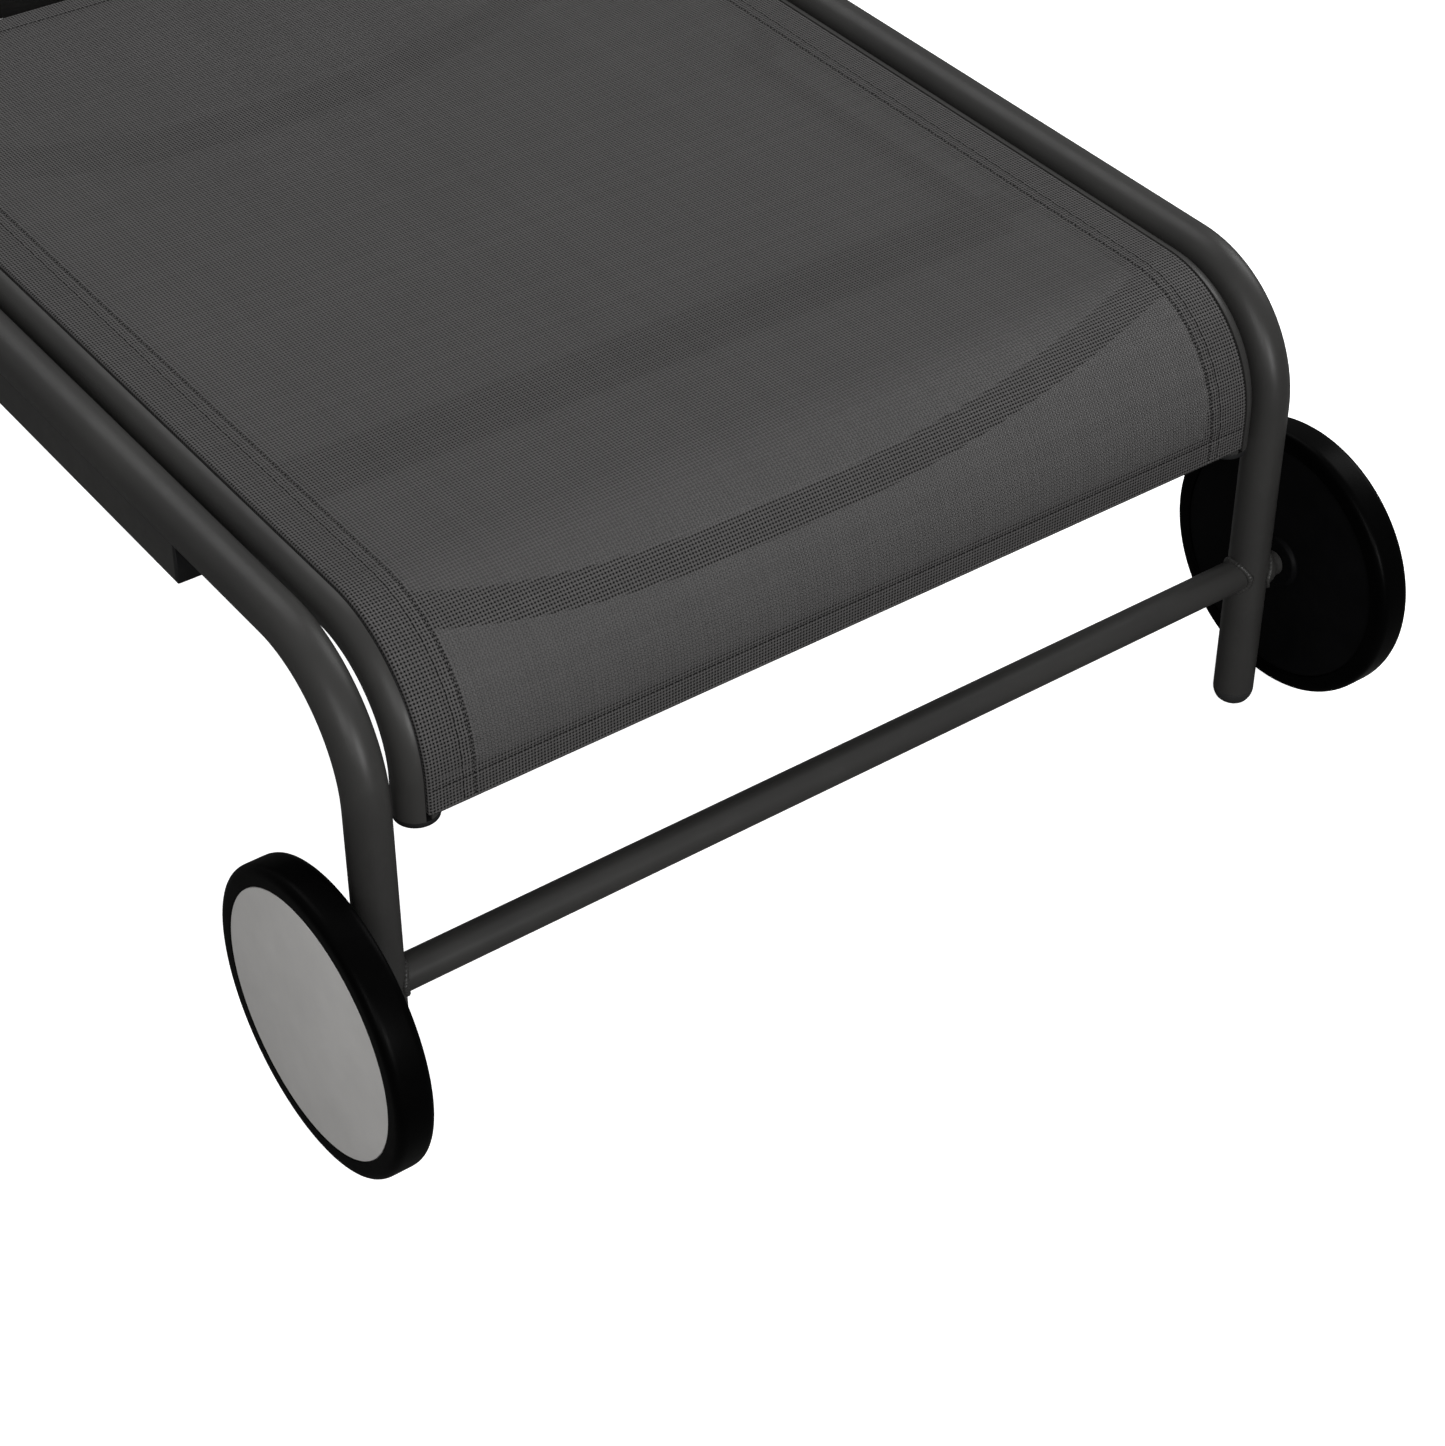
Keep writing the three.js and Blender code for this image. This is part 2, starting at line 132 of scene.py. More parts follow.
def buildStudio(s):
    bpy.context.scene.view_settings.view_transform = "Standard"
    for name, lamp in s["lamps"].items():
        areaLamp(name, *lamp)
    world = bpy.data.worlds.new("studio")
    world.use_nodes = True
    bpy.context.scene.world = world
    nodes, links = world.node_tree.nodes, world.node_tree.links
    background = nodes["Background"]
    background.inputs["Color"].default_value = (*s["sky"], 1.0)
    # the sky's strength falls from the horizon to straight up
    coords = nodes.new("ShaderNodeTexCoord")
    split = nodes.new("ShaderNodeSeparateXYZ")
    ramp = nodes.new("ShaderNodeMapRange")
    ramp.inputs["From Min"].default_value = 0.0
    ramp.inputs["From Max"].default_value = 0.8
    ramp.inputs["To Min"].default_value = s["skyLow"]
    ramp.inputs["To Max"].default_value = s["skyHigh"]
    links.new(coords.outputs["Generated"], split.inputs[0])
    links.new(split.outputs["Z"], ramp.inputs["Value"])
    # seen directly the sky is as pale as the floor
    path = nodes.new("ShaderNodeLightPath")
    shown = nodes.new("ShaderNodeMath")
    shown.operation = "MAXIMUM"
    links.new(ramp.outputs["Result"], shown.inputs[0])
    links.new(path.outputs["Is Camera Ray"], shown.inputs[1])
    links.new(shown.outputs[0], background.inputs["Strength"])
    # a round pale floor, its rim 30 m away
    turn = np.linspace(0.0, 2 * np.pi, 96, endpoint=False)
    rim = np.column_stack([30 * np.cos(turn), 30 * np.sin(turn), np.full(96, -0.0004)])
    mesh = bpy.data.meshes.new("floor")
    mesh.from_pydata(rim.tolist(), [], [list(range(96))])
    floor = bpy.data.objects.new("floor", mesh)
    bpy.context.scene.collection.objects.link(floor)
    pale = bpy.data.materials.new("paleFloor")
    pale.use_nodes = True
    tree = pale.node_tree
    shader = tree.nodes["Principled BSDF"]
    # seen directly the floor is pale and lit; light that bounces off it is held back
    path = tree.nodes.new("ShaderNodeLightPath")
    tone = tree.nodes.new("ShaderNodeMix")
    tone.data_type = "RGBA"
    tone.inputs[6].default_value = (*s["floorBounce"], 1.0)
    tone.inputs[7].default_value = (*s["floor"], 1.0)
    glow = tree.nodes.new("ShaderNodeMath")
    glow.operation = "MULTIPLY"
    glow.inputs[1].default_value = s["floorGlow"]
    tree.links.new(path.outputs["Is Camera Ray"], tone.inputs[0])
    tree.links.new(path.outputs["Is Camera Ray"], glow.inputs[0])
    tree.links.new(tone.outputs[2], shader.inputs["Base Color"])
    tree.links.new(glow.outputs[0], shader.inputs["Emission Strength"])
    shader.inputs["Roughness"].default_value = 0.9
    shader.inputs["Emission Color"].default_value = (1.0, 1.0, 1.0, 1.0)
    mesh.materials.append(pale)


aimedCamera(camera)
buildStudio(studio)
print("camera and studio ready")


# materials
class Nodes:
    # a material's node tree, with short calls for adding and joining nodes

    def __init__(self, name):
        self.material = bpy.data.materials.new(name)
        self.material.use_nodes = True
        self.tree = self.material.node_tree
        self.shader = self.tree.nodes["Principled BSDF"]

    def new(self, kind, **settings):
        node = self.tree.nodes.new(kind)
        for key, value in settings.items():
            setattr(node, key, value)
        return node

    def put(self, socket, value):
        if isinstance(value, bpy.types.NodeSocket):
            self.tree.links.new(value, socket)
        else:
            socket.default_value = value

    def math(self, operation, *values):
        node = self.new("ShaderNodeMath", operation=operation)
        for socket, value in zip(node.inputs, values):
            self.put(socket, value)
        return node.outputs[0]

    def place(self):
        return self.new("ShaderNodeTexCoord").outputs["Object"]

    def noise(self, scale, detail=3.0, vector=None, roughness=0.5):
        node = self.new("ShaderNodeTexNoise")
        self.put(node.inputs["Vector"], vector if vector is not None else self.place())
        node.inputs["Scale"].default_value = scale
        node.inputs["Detail"].default_value = detail
        node.inputs["Roughness"].default_value = roughness
        return node.outputs["Fac"]

    def span(self, value, low, high, toLow, toHigh):
        node = self.new("ShaderNodeMapRange")
        for key, item in (("Value", value), ("From Min", low), ("From Max", high),
                          ("To Min", toLow), ("To Max", toHigh)):
            self.put(node.inputs[key], item)
        return node.outputs["Result"]

    def mix(self, amount, first, second):
        # of the node's many sockets, 6 and 7 take the two colours and 2 gives the mix
        node = self.new("ShaderNodeMix", data_type="RGBA")
        self.put(node.inputs["Factor"], amount)
        self.put(node.inputs[6], first)
        self.put(node.inputs[7], second)
        return node.outputs[2]

    def bump(self, height, distance, strength=1.0, normal=None):
        node = self.new("ShaderNodeBump")
        node.inputs["Strength"].default_value = strength
        node.inputs["Distance"].default_value = distance
        self.put(node.inputs["Height"], height)
        if normal is not None:
            self.put(node.inputs["Normal"], normal)
        return node.outputs["Normal"]

    def set(self, key, value):
        self.put(self.shader.inputs[key], value)


def rgba(colour, scale=1.0):
    return (*(channel * scale for channel in colour), 1.0)


powderCoat = {
    "colour": (0.0305, 0.0298, 0.0290),
    "dusty": (0.0375, 0.0368, 0.0352),
    "grain": 1500.0,       # orange-peel cells per metre
    "grainDepth": 0.00003,
    "wave": 90.0,
    "waveDepth": 0.00006,
    "rough": (0.35, 0.44),
    "fleck": 5200.0,
    "gloss": 0.28,
}


def makePowderCoat(name, look):
    # charcoal powder coat: fine orange peel, a slow wave, faint dust and tiny lighter flecks
    n = Nodes(name)
    cloud = n.noise(9.0, 4.0)
    dust = n.noise(60.0, 5.0, roughness=0.65)
    fleck = n.span(n.noise(look["fleck"], 1.0), 0.66, 0.74, 0.0, 1.0)
    shade = n.mix(n.span(cloud, 0.35, 0.65, 0.0, 1.0), rgba(look["colour"]),
                  rgba(look["dusty"]))
    shade = n.mix(n.span(dust, 0.55, 0.8, 0.0, 0.25), shade, rgba(look["dusty"], 1.25))
    shade = n.mix(n.math("MULTIPLY", fleck, 0.25), shade, rgba(look["dusty"], 1.9))
    n.set("Base Color", shade)
    n.set("Roughness", n.span(dust, 0.3, 0.7, *look["rough"]))
    slow = n.bump(n.noise(look["wave"], 2.0), look["waveDepth"])
    n.set("Normal", n.bump(n.noise(look["grain"], 2.0), look["grainDepth"], normal=slow))
    n.set("Specular IOR Level", look["gloss"])
    return n.material


def makePlastic(name, colour, rough, gloss, grain=900.0, depth=0.00004):
    # moulded plastic: fine spark-erosion grain, slight sheen changes
    n = Nodes(name)
    cloud = n.noise(40.0, 4.0, roughness=0.6)
    n.set("Base Color", n.mix(n.span(cloud, 0.3, 0.7, 0.0, 1.0), rgba(colour),
                              rgba(colour, 1.5)))
    n.set("Roughness", n.span(cloud, 0.3, 0.7, rough - 0.05, rough + 0.06))
    n.set("Normal", n.bump(n.noise(grain, 3.0), depth))
    n.set("Specular IOR Level", gloss)
    return n.material


def makeRubber(name, colour, rough, gloss):
    # smooth solid tyre: bloom patches over a fine moulded grain
    n = Nodes(name)
    bloom = n.noise(22.0, 5.0, roughness=0.6)
    n.set("Base Color", n.mix(n.span(bloom, 0.45, 0.75, 0.0, 1.0), rgba(colour),
                              rgba(colour, 1.8)))
    n.set("Roughness", n.span(bloom, 0.3, 0.7, rough - 0.04, rough + 0.08))
    n.set("Normal", n.bump(n.noise(700.0, 3.0), 0.00003))
    n.set("Specular IOR Level", gloss)
    return n.material


def makeCoverGrey(name, colour, rough, gloss):
    # satin grey disc: very fine turned rings about the wheel's axis, faint handling marks
    n = Nodes(name)
    split = n.new("ShaderNodeSeparateXYZ")
    n.put(split.inputs[0], n.place())
    y = n.math("SUBTRACT", split.outputs["Y"], lounger["axleY"] - lounger["originY"])
    z = n.math("SUBTRACT", split.outputs["Z"], lounger["axleZ"])
    radius = n.math("SQRT", n.math("ADD", n.math("MULTIPLY", y, y), n.math("MULTIPLY", z, z)))
    rings = n.math("SINE", n.math("MULTIPLY", radius, 2 * math.pi / 0.0007))
    marks = n.noise(18.0, 6.0, roughness=0.6)
    tone = n.mix(n.span(marks, 0.35, 0.7, 0.0, 1.0), rgba(colour), rgba(colour, 0.9))
    n.set("Base Color", tone)
    n.set("Metallic", 0.1)
    n.set("Roughness", n.span(marks, 0.3, 0.7, rough - 0.04, rough + 0.05))
    height = n.math("ADD", n.math("MULTIPLY", rings, 0.3), n.noise(2500.0, 2.0))
    n.set("Normal", n.bump(height, 0.000012))
    n.set("Specular IOR Level", gloss)
    return n.material


def makeSteel(name):
    # zinc-plated steel: cool grey, mottled, with fine scratches along the axle
    n = Nodes(name)
    stretch = n.new("ShaderNodeMapping")
    stretch.inputs["Scale"].default_value = (1.0, 14.0, 14.0)
    n.put(stretch.inputs["Vector"], n.place())
    scratch = n.noise(160.0, 4.0, vector=stretch.outputs[0])
    n.set("Base Color", n.mix(n.noise(70.0, 4.0), rgba((0.30, 0.31, 0.32)),
                              rgba((0.48, 0.49, 0.50))))
    n.set("Metallic", 1.0)
    n.set("Roughness", n.span(scratch, 0.3, 0.7, 0.28, 0.46))
    n.set("Normal", n.bump(scratch, 0.00003))
    return n.material


weave = {
    "across": 0.00219,     # pitch of the lengthwise yarns
    "along": 0.00230,      # pitch of the crosswise yarns
    "yarn": 0.265,         # half width of a yarn, in pitches
    # the holes' near-black colour is painted shade inside the holes
    "side": (0.0016, 0.0016, 0.0016),
    "fuzzAndShade": 0.68,          # how much of a hole is closed: in part by fibres, in part by painted shade in its near-black colour
    "uneven": 0.08,        # spread of tone from yarn to yarn
    "colour": (0.055, 0.0535, 0.0535),
    # painted shade and light: the first colour darkens the hollows between the yarns, the second
    # lights their tops
    "valleyShade": (0.017, 0.0164, 0.0164),
    "crown": (0.108, 0.1045, 0.1038),
    "depth": 0.00042,
    "cloud": 0.14,         # how far slow patches pull the tone to the plain colour
    "gloss": 0.22,
}


def makeWeave(name, look):
    # plain weave on the cloth's own UV, in metres: a lengthwise yarn rises and falls as
    # cos(pi v) and its neighbour the other way, a crosswise yarn as cos(pi u); the upper of
    # the two shows, and where neither covers is a hole, closed in part by a near-black colour
    # that paints the shade inside the hole
    n = Nodes(name)
    uv = n.new("ShaderNodeUVMap", uv_map="cloth")
    split = n.new("ShaderNodeSeparateXYZ")
    n.put(split.inputs[0], uv.outputs[0])
    u = n.math("DIVIDE", split.outputs["X"], look["across"])
    v = n.math("DIVIDE", split.outputs["Y"], look["along"])
    wander = n.math("MULTIPLY", n.math("SUBTRACT", n.noise(120.0, 2.0), 0.5), 0.16)
    u = n.math("ADD", u, wander)
    v = n.math("ADD", v, wander)
    offU = n.math("ABSOLUTE", n.math("SUBTRACT", u, n.math("ROUND", u)))
    offV = n.math("ABSOLUTE", n.math("SUBTRACT", v, n.math("ROUND", v)))
    cosU = n.math("COSINE", n.math("MULTIPLY", u, math.pi))
    cosV = n.math("COSINE", n.math("MULTIPLY", v, math.pi))

    def yarnHeight(off, wave, parity):
        # round thread: square root of one less the squared share of its half width
        share = n.math("DIVIDE", off, look["yarn"])
        body = n.math("SQRT", n.math("MAXIMUM", n.math(
            "SUBTRACT", 1.0, n.math("MULTIPLY", share, share)), 0.0))
        lift = n.math("MULTIPLY", wave, n.math("SIGN", parity))
        height = n.math("ADD", n.math("MULTIPLY", body, 0.5), n.math("MULTIPLY", lift, 0.42))
        inside = n.math("LESS_THAN", off, look["yarn"])
        return n.math("SUBTRACT", n.math("MULTIPLY", height, inside),
                      n.math("SUBTRACT", 1.0, inside)), inside

    warp, warpIn = yarnHeight(offU, cosV, cosU)
    weft, weftIn = yarnHeight(offV, n.math("MULTIPLY", cosU, -1.0), cosV)
    height = n.math("MAXIMUM", warp, weft)
    lit = n.math("MAXIMUM", warpIn, weftIn)
    # a hole is only in part see-through; the rest is closed with painted shade
    cover = n.math("MAXIMUM", lit, look["fuzzAndShade"])
    # each yarn has its own tone, drawn from its number
    warpTone = n.new("ShaderNodeTexWhiteNoise", noise_dimensions="1D")
    weftTone = n.new("ShaderNodeTexWhiteNoise", noise_dimensions="1D")
    n.put(warpTone.inputs["W"], n.math("ROUND", u))
    n.put(weftTone.inputs["W"], n.math("ADD", n.math("ROUND", v), 0.5))
    onTop = n.math("GREATER_THAN", warp, weft)
    own = n.math("ADD", n.math("MULTIPLY", onTop, warpTone.outputs["Value"]),
                 n.math("MULTIPLY", n.math("SUBTRACT", 1.0, onTop),
                        weftTone.outputs["Value"]))
    gain = n.span(own, 0.0, 1.0, 1.0 - look["uneven"], 1.0 + look["uneven"])
    # painted shade and light: the tone follows the yarns' height, dark in the hollows between them
    # and light on their tops
    tone = n.span(height, -0.3, 0.95, 0.0, 1.0)
    shade = n.mix(tone, rgba(look["valleyShade"]), rgba(look["crown"]))
    cloud = n.noise(14.0, 5.0)
    shade = n.mix(n.span(cloud, 0.35, 0.7, 0.0, look["cloud"]), shade, rgba(look["colour"]))
    scaled = n.new("ShaderNodeVectorMath", operation="SCALE")
    n.put(scaled.inputs[0], shade)
    n.put(scaled.inputs["Scale"], gain)
    # where no yarn lies the colour is near-black: painted shade inside the hole
    n.set("Base Color", n.mix(lit, rgba(look["side"]), scaled.outputs[0]))
    n.set("Roughness", n.span(tone, 0.0, 1.0, 0.75, 0.5))
    n.set("Alpha", cover)
    n.set("Normal", n.bump(height, look["depth"], 0.8))
    n.set("Specular IOR Level", look["gloss"])
    return n.material


plainFinishes = {
    # name: (colour, roughness, gloss)
    "blackPlastic": ((0.0085, 0.0085, 0.009), 0.48, 0.25),
    "footPlastic": ((0.022, 0.022, 0.022), 0.5, 0.25),
    "kederPlastic": ((0.010, 0.010, 0.010), 0.5, 0.25),
    "hubPlastic": ((0.0026, 0.0026, 0.0028), 0.5, 0.05),
    "sewingThread": ((0.004, 0.004, 0.004), 0.6, 0.1),
    "tyreRubber": ((0.0007, 0.0007, 0.0007), 0.34, 0.03),
    "coverGrey": ((0.90, 0.885, 0.865), 0.42, 0.5),
}

coat = makePowderCoat("charcoalCoat", powderCoat)
blackPlastic = makePlastic("blackPlastic", *plainFinishes["blackPlastic"])
footPlastic = makePlastic("footPlastic", *plainFinishes["footPlastic"])
kederPlastic = makePlastic("kederPlastic", *plainFinishes["kederPlastic"])
hubPlastic = makePlastic("hubPlastic", *plainFinishes["hubPlastic"])
tyreRubber = makeRubber("tyreRubber", *plainFinishes["tyreRubber"])
coverGrey = makeCoverGrey("coverGrey", *plainFinishes["coverGrey"])
zincSteel = makeSteel("zincSteel")
meshCloth = makeWeave("meshCloth", weave)
thread = makePlastic("sewingThread", *plainFinishes["sewingThread"], grain=4000.0)
print("materials ready")


# surfaces
def y0(y):
    return y - lounger["originY"]


def gridFaces(rows, cols, wrapRows, wrapCols):
    # every cell of the grid as a quad that faces away from a section drawn anticlockwise
    i = np.arange(rows if wrapRows else rows - 1)[:, None]
    j = np.arange(cols if wrapCols else cols - 1)[None, :]
    iNext, jNext = (i + 1) % rows, (j + 1) % cols
    corners = [i * cols + j, i * cols + jNext, iNext * cols + jNext, iNext * cols + j]
    return np.stack(np.broadcast_arrays(*corners), -1).reshape(-1, 4)


def meshPiece(name, grids, material, caps=True, wrapRows=False, wrapCols=True, sharp=35.0,
              uv=None):
    # one mesh from one or more grids of points (rows along, columns around), its open ends
    # closed with a face, its doubles merged and its faces turned outwards
    bm = bmesh.new()
    mesh = bpy.data.meshes.new(name)
    verts, faces, start = [], [], 0
    for grid in grids:
        rows, cols = grid.shape[:2]
        verts.append(grid.reshape(-1, 3))
        faces += (gridFaces(rows, cols, wrapRows, wrapCols) + start).tolist()
        if caps and not wrapRows:
            faces.append(list(range(start + cols - 1, start - 1, -1)))
            faces.append(list(range(start + (rows - 1) * cols, start + rows * cols)))
        start += rows * cols
    mesh.from_pydata(np.concatenate(verts).tolist(), [], faces)
    if uv is not None:
        layer = mesh.uv_layers.new(name="cloth")
        loops = np.zeros(len(mesh.loops), np.int32)
        mesh.loops.foreach_get("vertex_index", loops)
        layer.data.foreach_set("uv", uv.reshape(-1, 2)[loops].astype(np.float32).ravel())
    bm.from_mesh(mesh)
    if uv is None:
        bmesh.ops.remove_doubles(bm, verts=bm.verts, dist=1e-6)
    bmesh.ops.recalc_face_normals(bm, faces=bm.faces)
    bm.to_mesh(mesh)
    bm.free()
    mesh.shade_smooth()
    mesh.set_sharp_from_angle(angle=math.radians(sharp))
    mesh.materials.append(material)
    obj = bpy.data.objects.new(name, mesh)
    bpy.context.scene.collection.objects.link(obj)
    return obj


def settle(obj, body, slot, *nodes):
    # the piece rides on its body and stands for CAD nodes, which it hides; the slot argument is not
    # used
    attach(obj, body)
    if nodes:
        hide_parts(*nodes)
    return obj


def bored(obj, side, xs, radius, y, z):
    # a round hole along X is cut from the piece for the pin that turns in it
    profile = [[xs[0], 0], [xs[0], radius], [xs[1], radius], [xs[1], 0]]
    cutter = meshPiece(f"{obj.name}_cutter", [turnedAbout(profile, 40, y, z, side)],
                       obj.data.materials[0])
    cut = obj.modifiers.new("bore", "BOOLEAN")
    cut.operation = "DIFFERENCE"
    cut.object = cutter
    ready = obj.evaluated_get(bpy.context.evaluated_depsgraph_get())
    mesh = bpy.data.meshes.new_from_object(ready)
    obj.modifiers.clear()
    obj.data = mesh
    mesh.set_sharp_from_angle(angle=math.radians(35.0))
    bpy.data.objects.remove(cutter)


def ring(radius, count, centre=(0.0, 0.0)):
    turn = np.linspace(0.0, 2 * np.pi, count, endpoint=False)
    return np.column_stack([centre[0] + radius * np.cos(turn),
                            centre[1] + radius * np.sin(turn)])


def bentPath(corners, bendR, arcPoints=22, runPoints=2):
    # straight runs joined by arcs that touch them; a point on an arc is
    # start + before R sin t + inward R (1 - cos t)
    corners = np.array(corners, float)
    heads = np.diff(corners, axis=0)
    heads /= np.linalg.norm(heads, axis=1)[:, None]
    points, tangents, last = [], [], corners[0]
    for i in range(1, len(corners)):
        before = heads[i - 1]
        if i < len(corners) - 1:
            after = heads[i]
            bend = math.acos(float(np.clip(before @ after, -1, 1)))
            start = corners[i] - before * bendR * math.tan(bend / 2)
            inward = after - before * (before @ after)
            inward /= np.linalg.norm(inward)
            t = np.linspace(0.0, bend, arcPoints)[:, None]
            arc = start + before * bendR * np.sin(t) + inward * bendR * (1 - np.cos(t))
            arcTangents = before * np.cos(t) + inward * np.sin(t)
        else:
            start, arc, arcTangents = corners[i], None, None
        run = np.linspace(0.0, 1.0, runPoints)[:, None]
        run = run if arc is None else run[:-1]
        points.append(last + (start - last) * run)
        tangents.append(np.repeat(before[None], len(run), 0))
        if arc is not None:
            points.append(arc)
            tangents.append(arcTangents)
            last = arc[-1]
    points, tangents = np.concatenate(points), np.concatenate(tangents)
    keep = np.r_[True, np.linalg.norm(np.diff(points, axis=0), axis=1) > 1e-9]
    return points[keep], tangents[keep]


def carried(points, tangents, section, across=(-1.0, 0.0, 0.0)):
    # a section point goes to: path + x across + y up, up being tangent cross across
    across = np.array(across)
    ups = np.cross(tangents, across)
    if section.ndim == 2:
        section = np.repeat(section[None], len(points), 0)
    return (points[:, None] + section[..., :1] * across
            + section[..., 1:] * ups[:, None])


def turnedAbout(profile, segments, centreY, centreZ, side=1):
    # a turned shape about an axis along X: each (x, radius) point swept round the axis
    profile = np.array(profile, float)
    turn = np.linspace(0.0, 2 * np.pi, segments, endpoint=False)
    x = np.repeat(profile[:, :1] * side, segments, 1)
    y = centreY + profile[:, 1:] * np.cos(turn)
    z = centreZ + profile[:, 1:] * np.sin(turn)
    return np.stack([x, np.broadcast_to(y, x.shape), np.broadcast_to(z, x.shape)], -1)


def rounded(points, radii, steps=5, closed=False):
    # a line of corners with each one rounded: a quadratic curve joins the two points on its
    # sides that are one radius away from it
    points = np.array(points, float)
    out = []
    count = len(points)
    for i, radius in enumerate(radii):
        if radius <= 0 or (not closed and i in (0, count - 1)):
            out.append(points[i][None])
            continue
        here, before, after = points[i], points[i - 1], points[(i + 1) % count]
        first = here + (before - here) / np.linalg.norm(before - here) * radius
        last = here + (after - here) / np.linalg.norm(after - here) * radius
        t = np.linspace(0.0, 1.0, steps + 1)[:, None]
        out.append((1 - t) ** 2 * first + 2 * t * (1 - t) * here + t ** 2 * last)
    return np.concatenate(out)


# side tubes, crossbars, feet
def legPoint(x, z):
    return [x, y0((z - lounger["crossbarZ"]) * math.tan(lounger["legTilt"])), z]


def toFootEnd(point):
    return [point[0], y0(lounger["footLineY"]) - lounger["originY"] - point[1], point[2]]


def sidePath(side, arcPoints=26):
    x = side * lounger["sideX"]
    low, high = legPoint(x, lounger["capHeight"]), legPoint(x, lounger["sideZ"])
    return bentPath([low, high, toFootEnd(high), toFootEnd(low)], lounger["sideBendR"],
                    arcPoints)


def tubeShell(points, tangents, radius, wall, count=56, across=(-1.0, 0.0, 0.0)):
    # outside surface out and inside surface back, joined at both ends into one closed skin
    outer = carried(points, tangents, ring(radius, count), across)
    inner = carried(points, tangents, ring(radius - wall, count), across)
    return np.concatenate([outer, inner[::-1]])


for name, side in sides.items():
    path = sidePath(side)
    tube = meshPiece(f"side_tube_smooth_{name}",
                     [tubeShell(*path, lounger["tubeR"], lounger["tubeWall"])],
                     coat, wrapRows=True)
    settle(tube, "frame", "coat", f"side_tube_{name}")
print("side tubes ready")


def meetTube(starts, heading, axisPoint, axisHeading, radius):
    # where lines along `heading` first come within the radius of an axis: the smaller root of
    # the quadratic in the distance square to that axis
    offset = starts - np.array(axisPoint)
    flatStart = offset - (offset @ axisHeading)[:, None] * axisHeading
    flatHeading = heading - (heading @ axisHeading) * axisHeading
    a = flatHeading @ flatHeading
    b = flatStart @ flatHeading
    c = (flatStart ** 2).sum(1) - radius ** 2
    reach = (-b - np.sqrt(np.maximum(b * b - a * c, 0.0))) / a
    return starts + reach[:, None] * heading


def saddledTube(points, tangents, across, radius, wall, ends, count=40):
    # a tube whose two ends are cut to the round tubes they meet; ends are (point, axis,
    # radius) for the first and the last end; outside out and inside back makes one skin
    skins = []
    for r in (radius, radius - wall):
        lines = carried(points, tangents, ring(r, count), across)
        first = meetTube(lines[0], -tangents[0], *ends[0])
        last = meetTube(lines[-1], tangents[-1], *ends[1])
        skins.append(np.concatenate([first[None], lines, last[None]]))
    return np.concatenate([skins[0], skins[1][::-1]]), skins[0][0], skins[0][-1]


bead = {
    "radius": 0.0021,
    "ripple": 0.16,   # share of the radius
    "ripples": 34,    # laps of metal round one joint
    "around": 170,
    "stopShort": 0.02,  # the crossbar's own line ends here, short of the leg's middle
}


def weldBead(name, curve, centre, tangent, body, seed, scale=1.0):
    # a ring of metal along a closed curve: its section is a small circle, and its radius
    # goes up and down with each lap of the weld
    curve = np.array(curve)
    n = bead["around"]
    share = np.linspace(0, len(curve), n, endpoint=False)
    low = np.floor(share).astype(int) % len(curve)
    high = (low + 1) % len(curve)
    part = (share - np.floor(share))[:, None]
    path = curve[low] * (1 - part) + curve[high] * part
    outward = path - np.array(centre)
    outward -= (outward @ tangent)[:, None] * tangent
    outward /= np.linalg.norm(outward, axis=1)[:, None]
    turn = np.linspace(0, 2 * np.pi, n, endpoint=False)
    rng = np.random.default_rng(seed)
    laps = np.abs(np.sin(turn * bead["ripples"] / 2 + rng.uniform(0, 3)))
    slow = 0.12 * np.sin(turn * 3 + rng.uniform(0, 6)) + 0.08 * np.sin(turn * 7)
    radius = scale * bead["radius"] * (1 + bead["ripple"] * laps + slow)
    phi = np.linspace(0, 2 * np.pi, 10, endpoint=False)
    grid = (path[:, None] + radius[:, None, None]
            * (np.cos(phi)[None, :, None] * tangent
               + np.sin(phi)[None, :, None] * outward[:, None]))
    obj = meshPiece(name, [grid], coat, wrapRows=True, sharp=80)
    return settle(obj, body, "coat")


# crossbars run from leg to leg; each end is cut to the leg and has its weld bead
for end, lineY in (("head", 0.0), ("foot", lounger["footLineY"])):
    half = lounger["sideX"] - bead["stopShort"]
    tilt = lounger["legTilt"] * (1 if end == "head" else -1)
    legAxis = np.array([0.0, math.sin(tilt), math.cos(tilt)])
    at = np.array([[-half, y0(lineY), lounger["crossbarZ"]], [half, y0(lineY),
                                                               lounger["crossbarZ"]]])
    heading = np.repeat([[1.0, 0.0, 0.0]], 2, 0)
    legs = [((x, y0(lineY), lounger["crossbarZ"]), legAxis, lounger["tubeR"])
            for x in (-lounger["sideX"], lounger["sideX"])]
    grid, first, last = saddledTube(at, heading, (0.0, 1.0, 0.0), lounger["barR"],
                                    lounger["tubeWall"], legs)
    bar = meshPiece(f"crossbar_{end}_smooth", [grid], coat, wrapRows=True)
    settle(bar, "frame", "coat", f"{end}_crossbar")
    for seed, (name, curve, leg) in enumerate((("left", first, legs[0]), ("right", last, legs[1]))):
        weldBead(f"weld_crossbar_{end}_{name}", curve, at.mean(0), heading[0], "frame",
                 seed + (7 if end == "head" else 9))
print("crossbars ready")

bow = {
    "dip": 0.069,
    "frontDip": 0.045,
    "power": 2.5,
    "steps": 44,
    "reach": 0.298,
    "fromEnd": 0.0826,   # first and last spreader, from their crossbar
    "hingeY": 0.688,
    "frontY": 0.900,
    "middleY": 1.370,
}


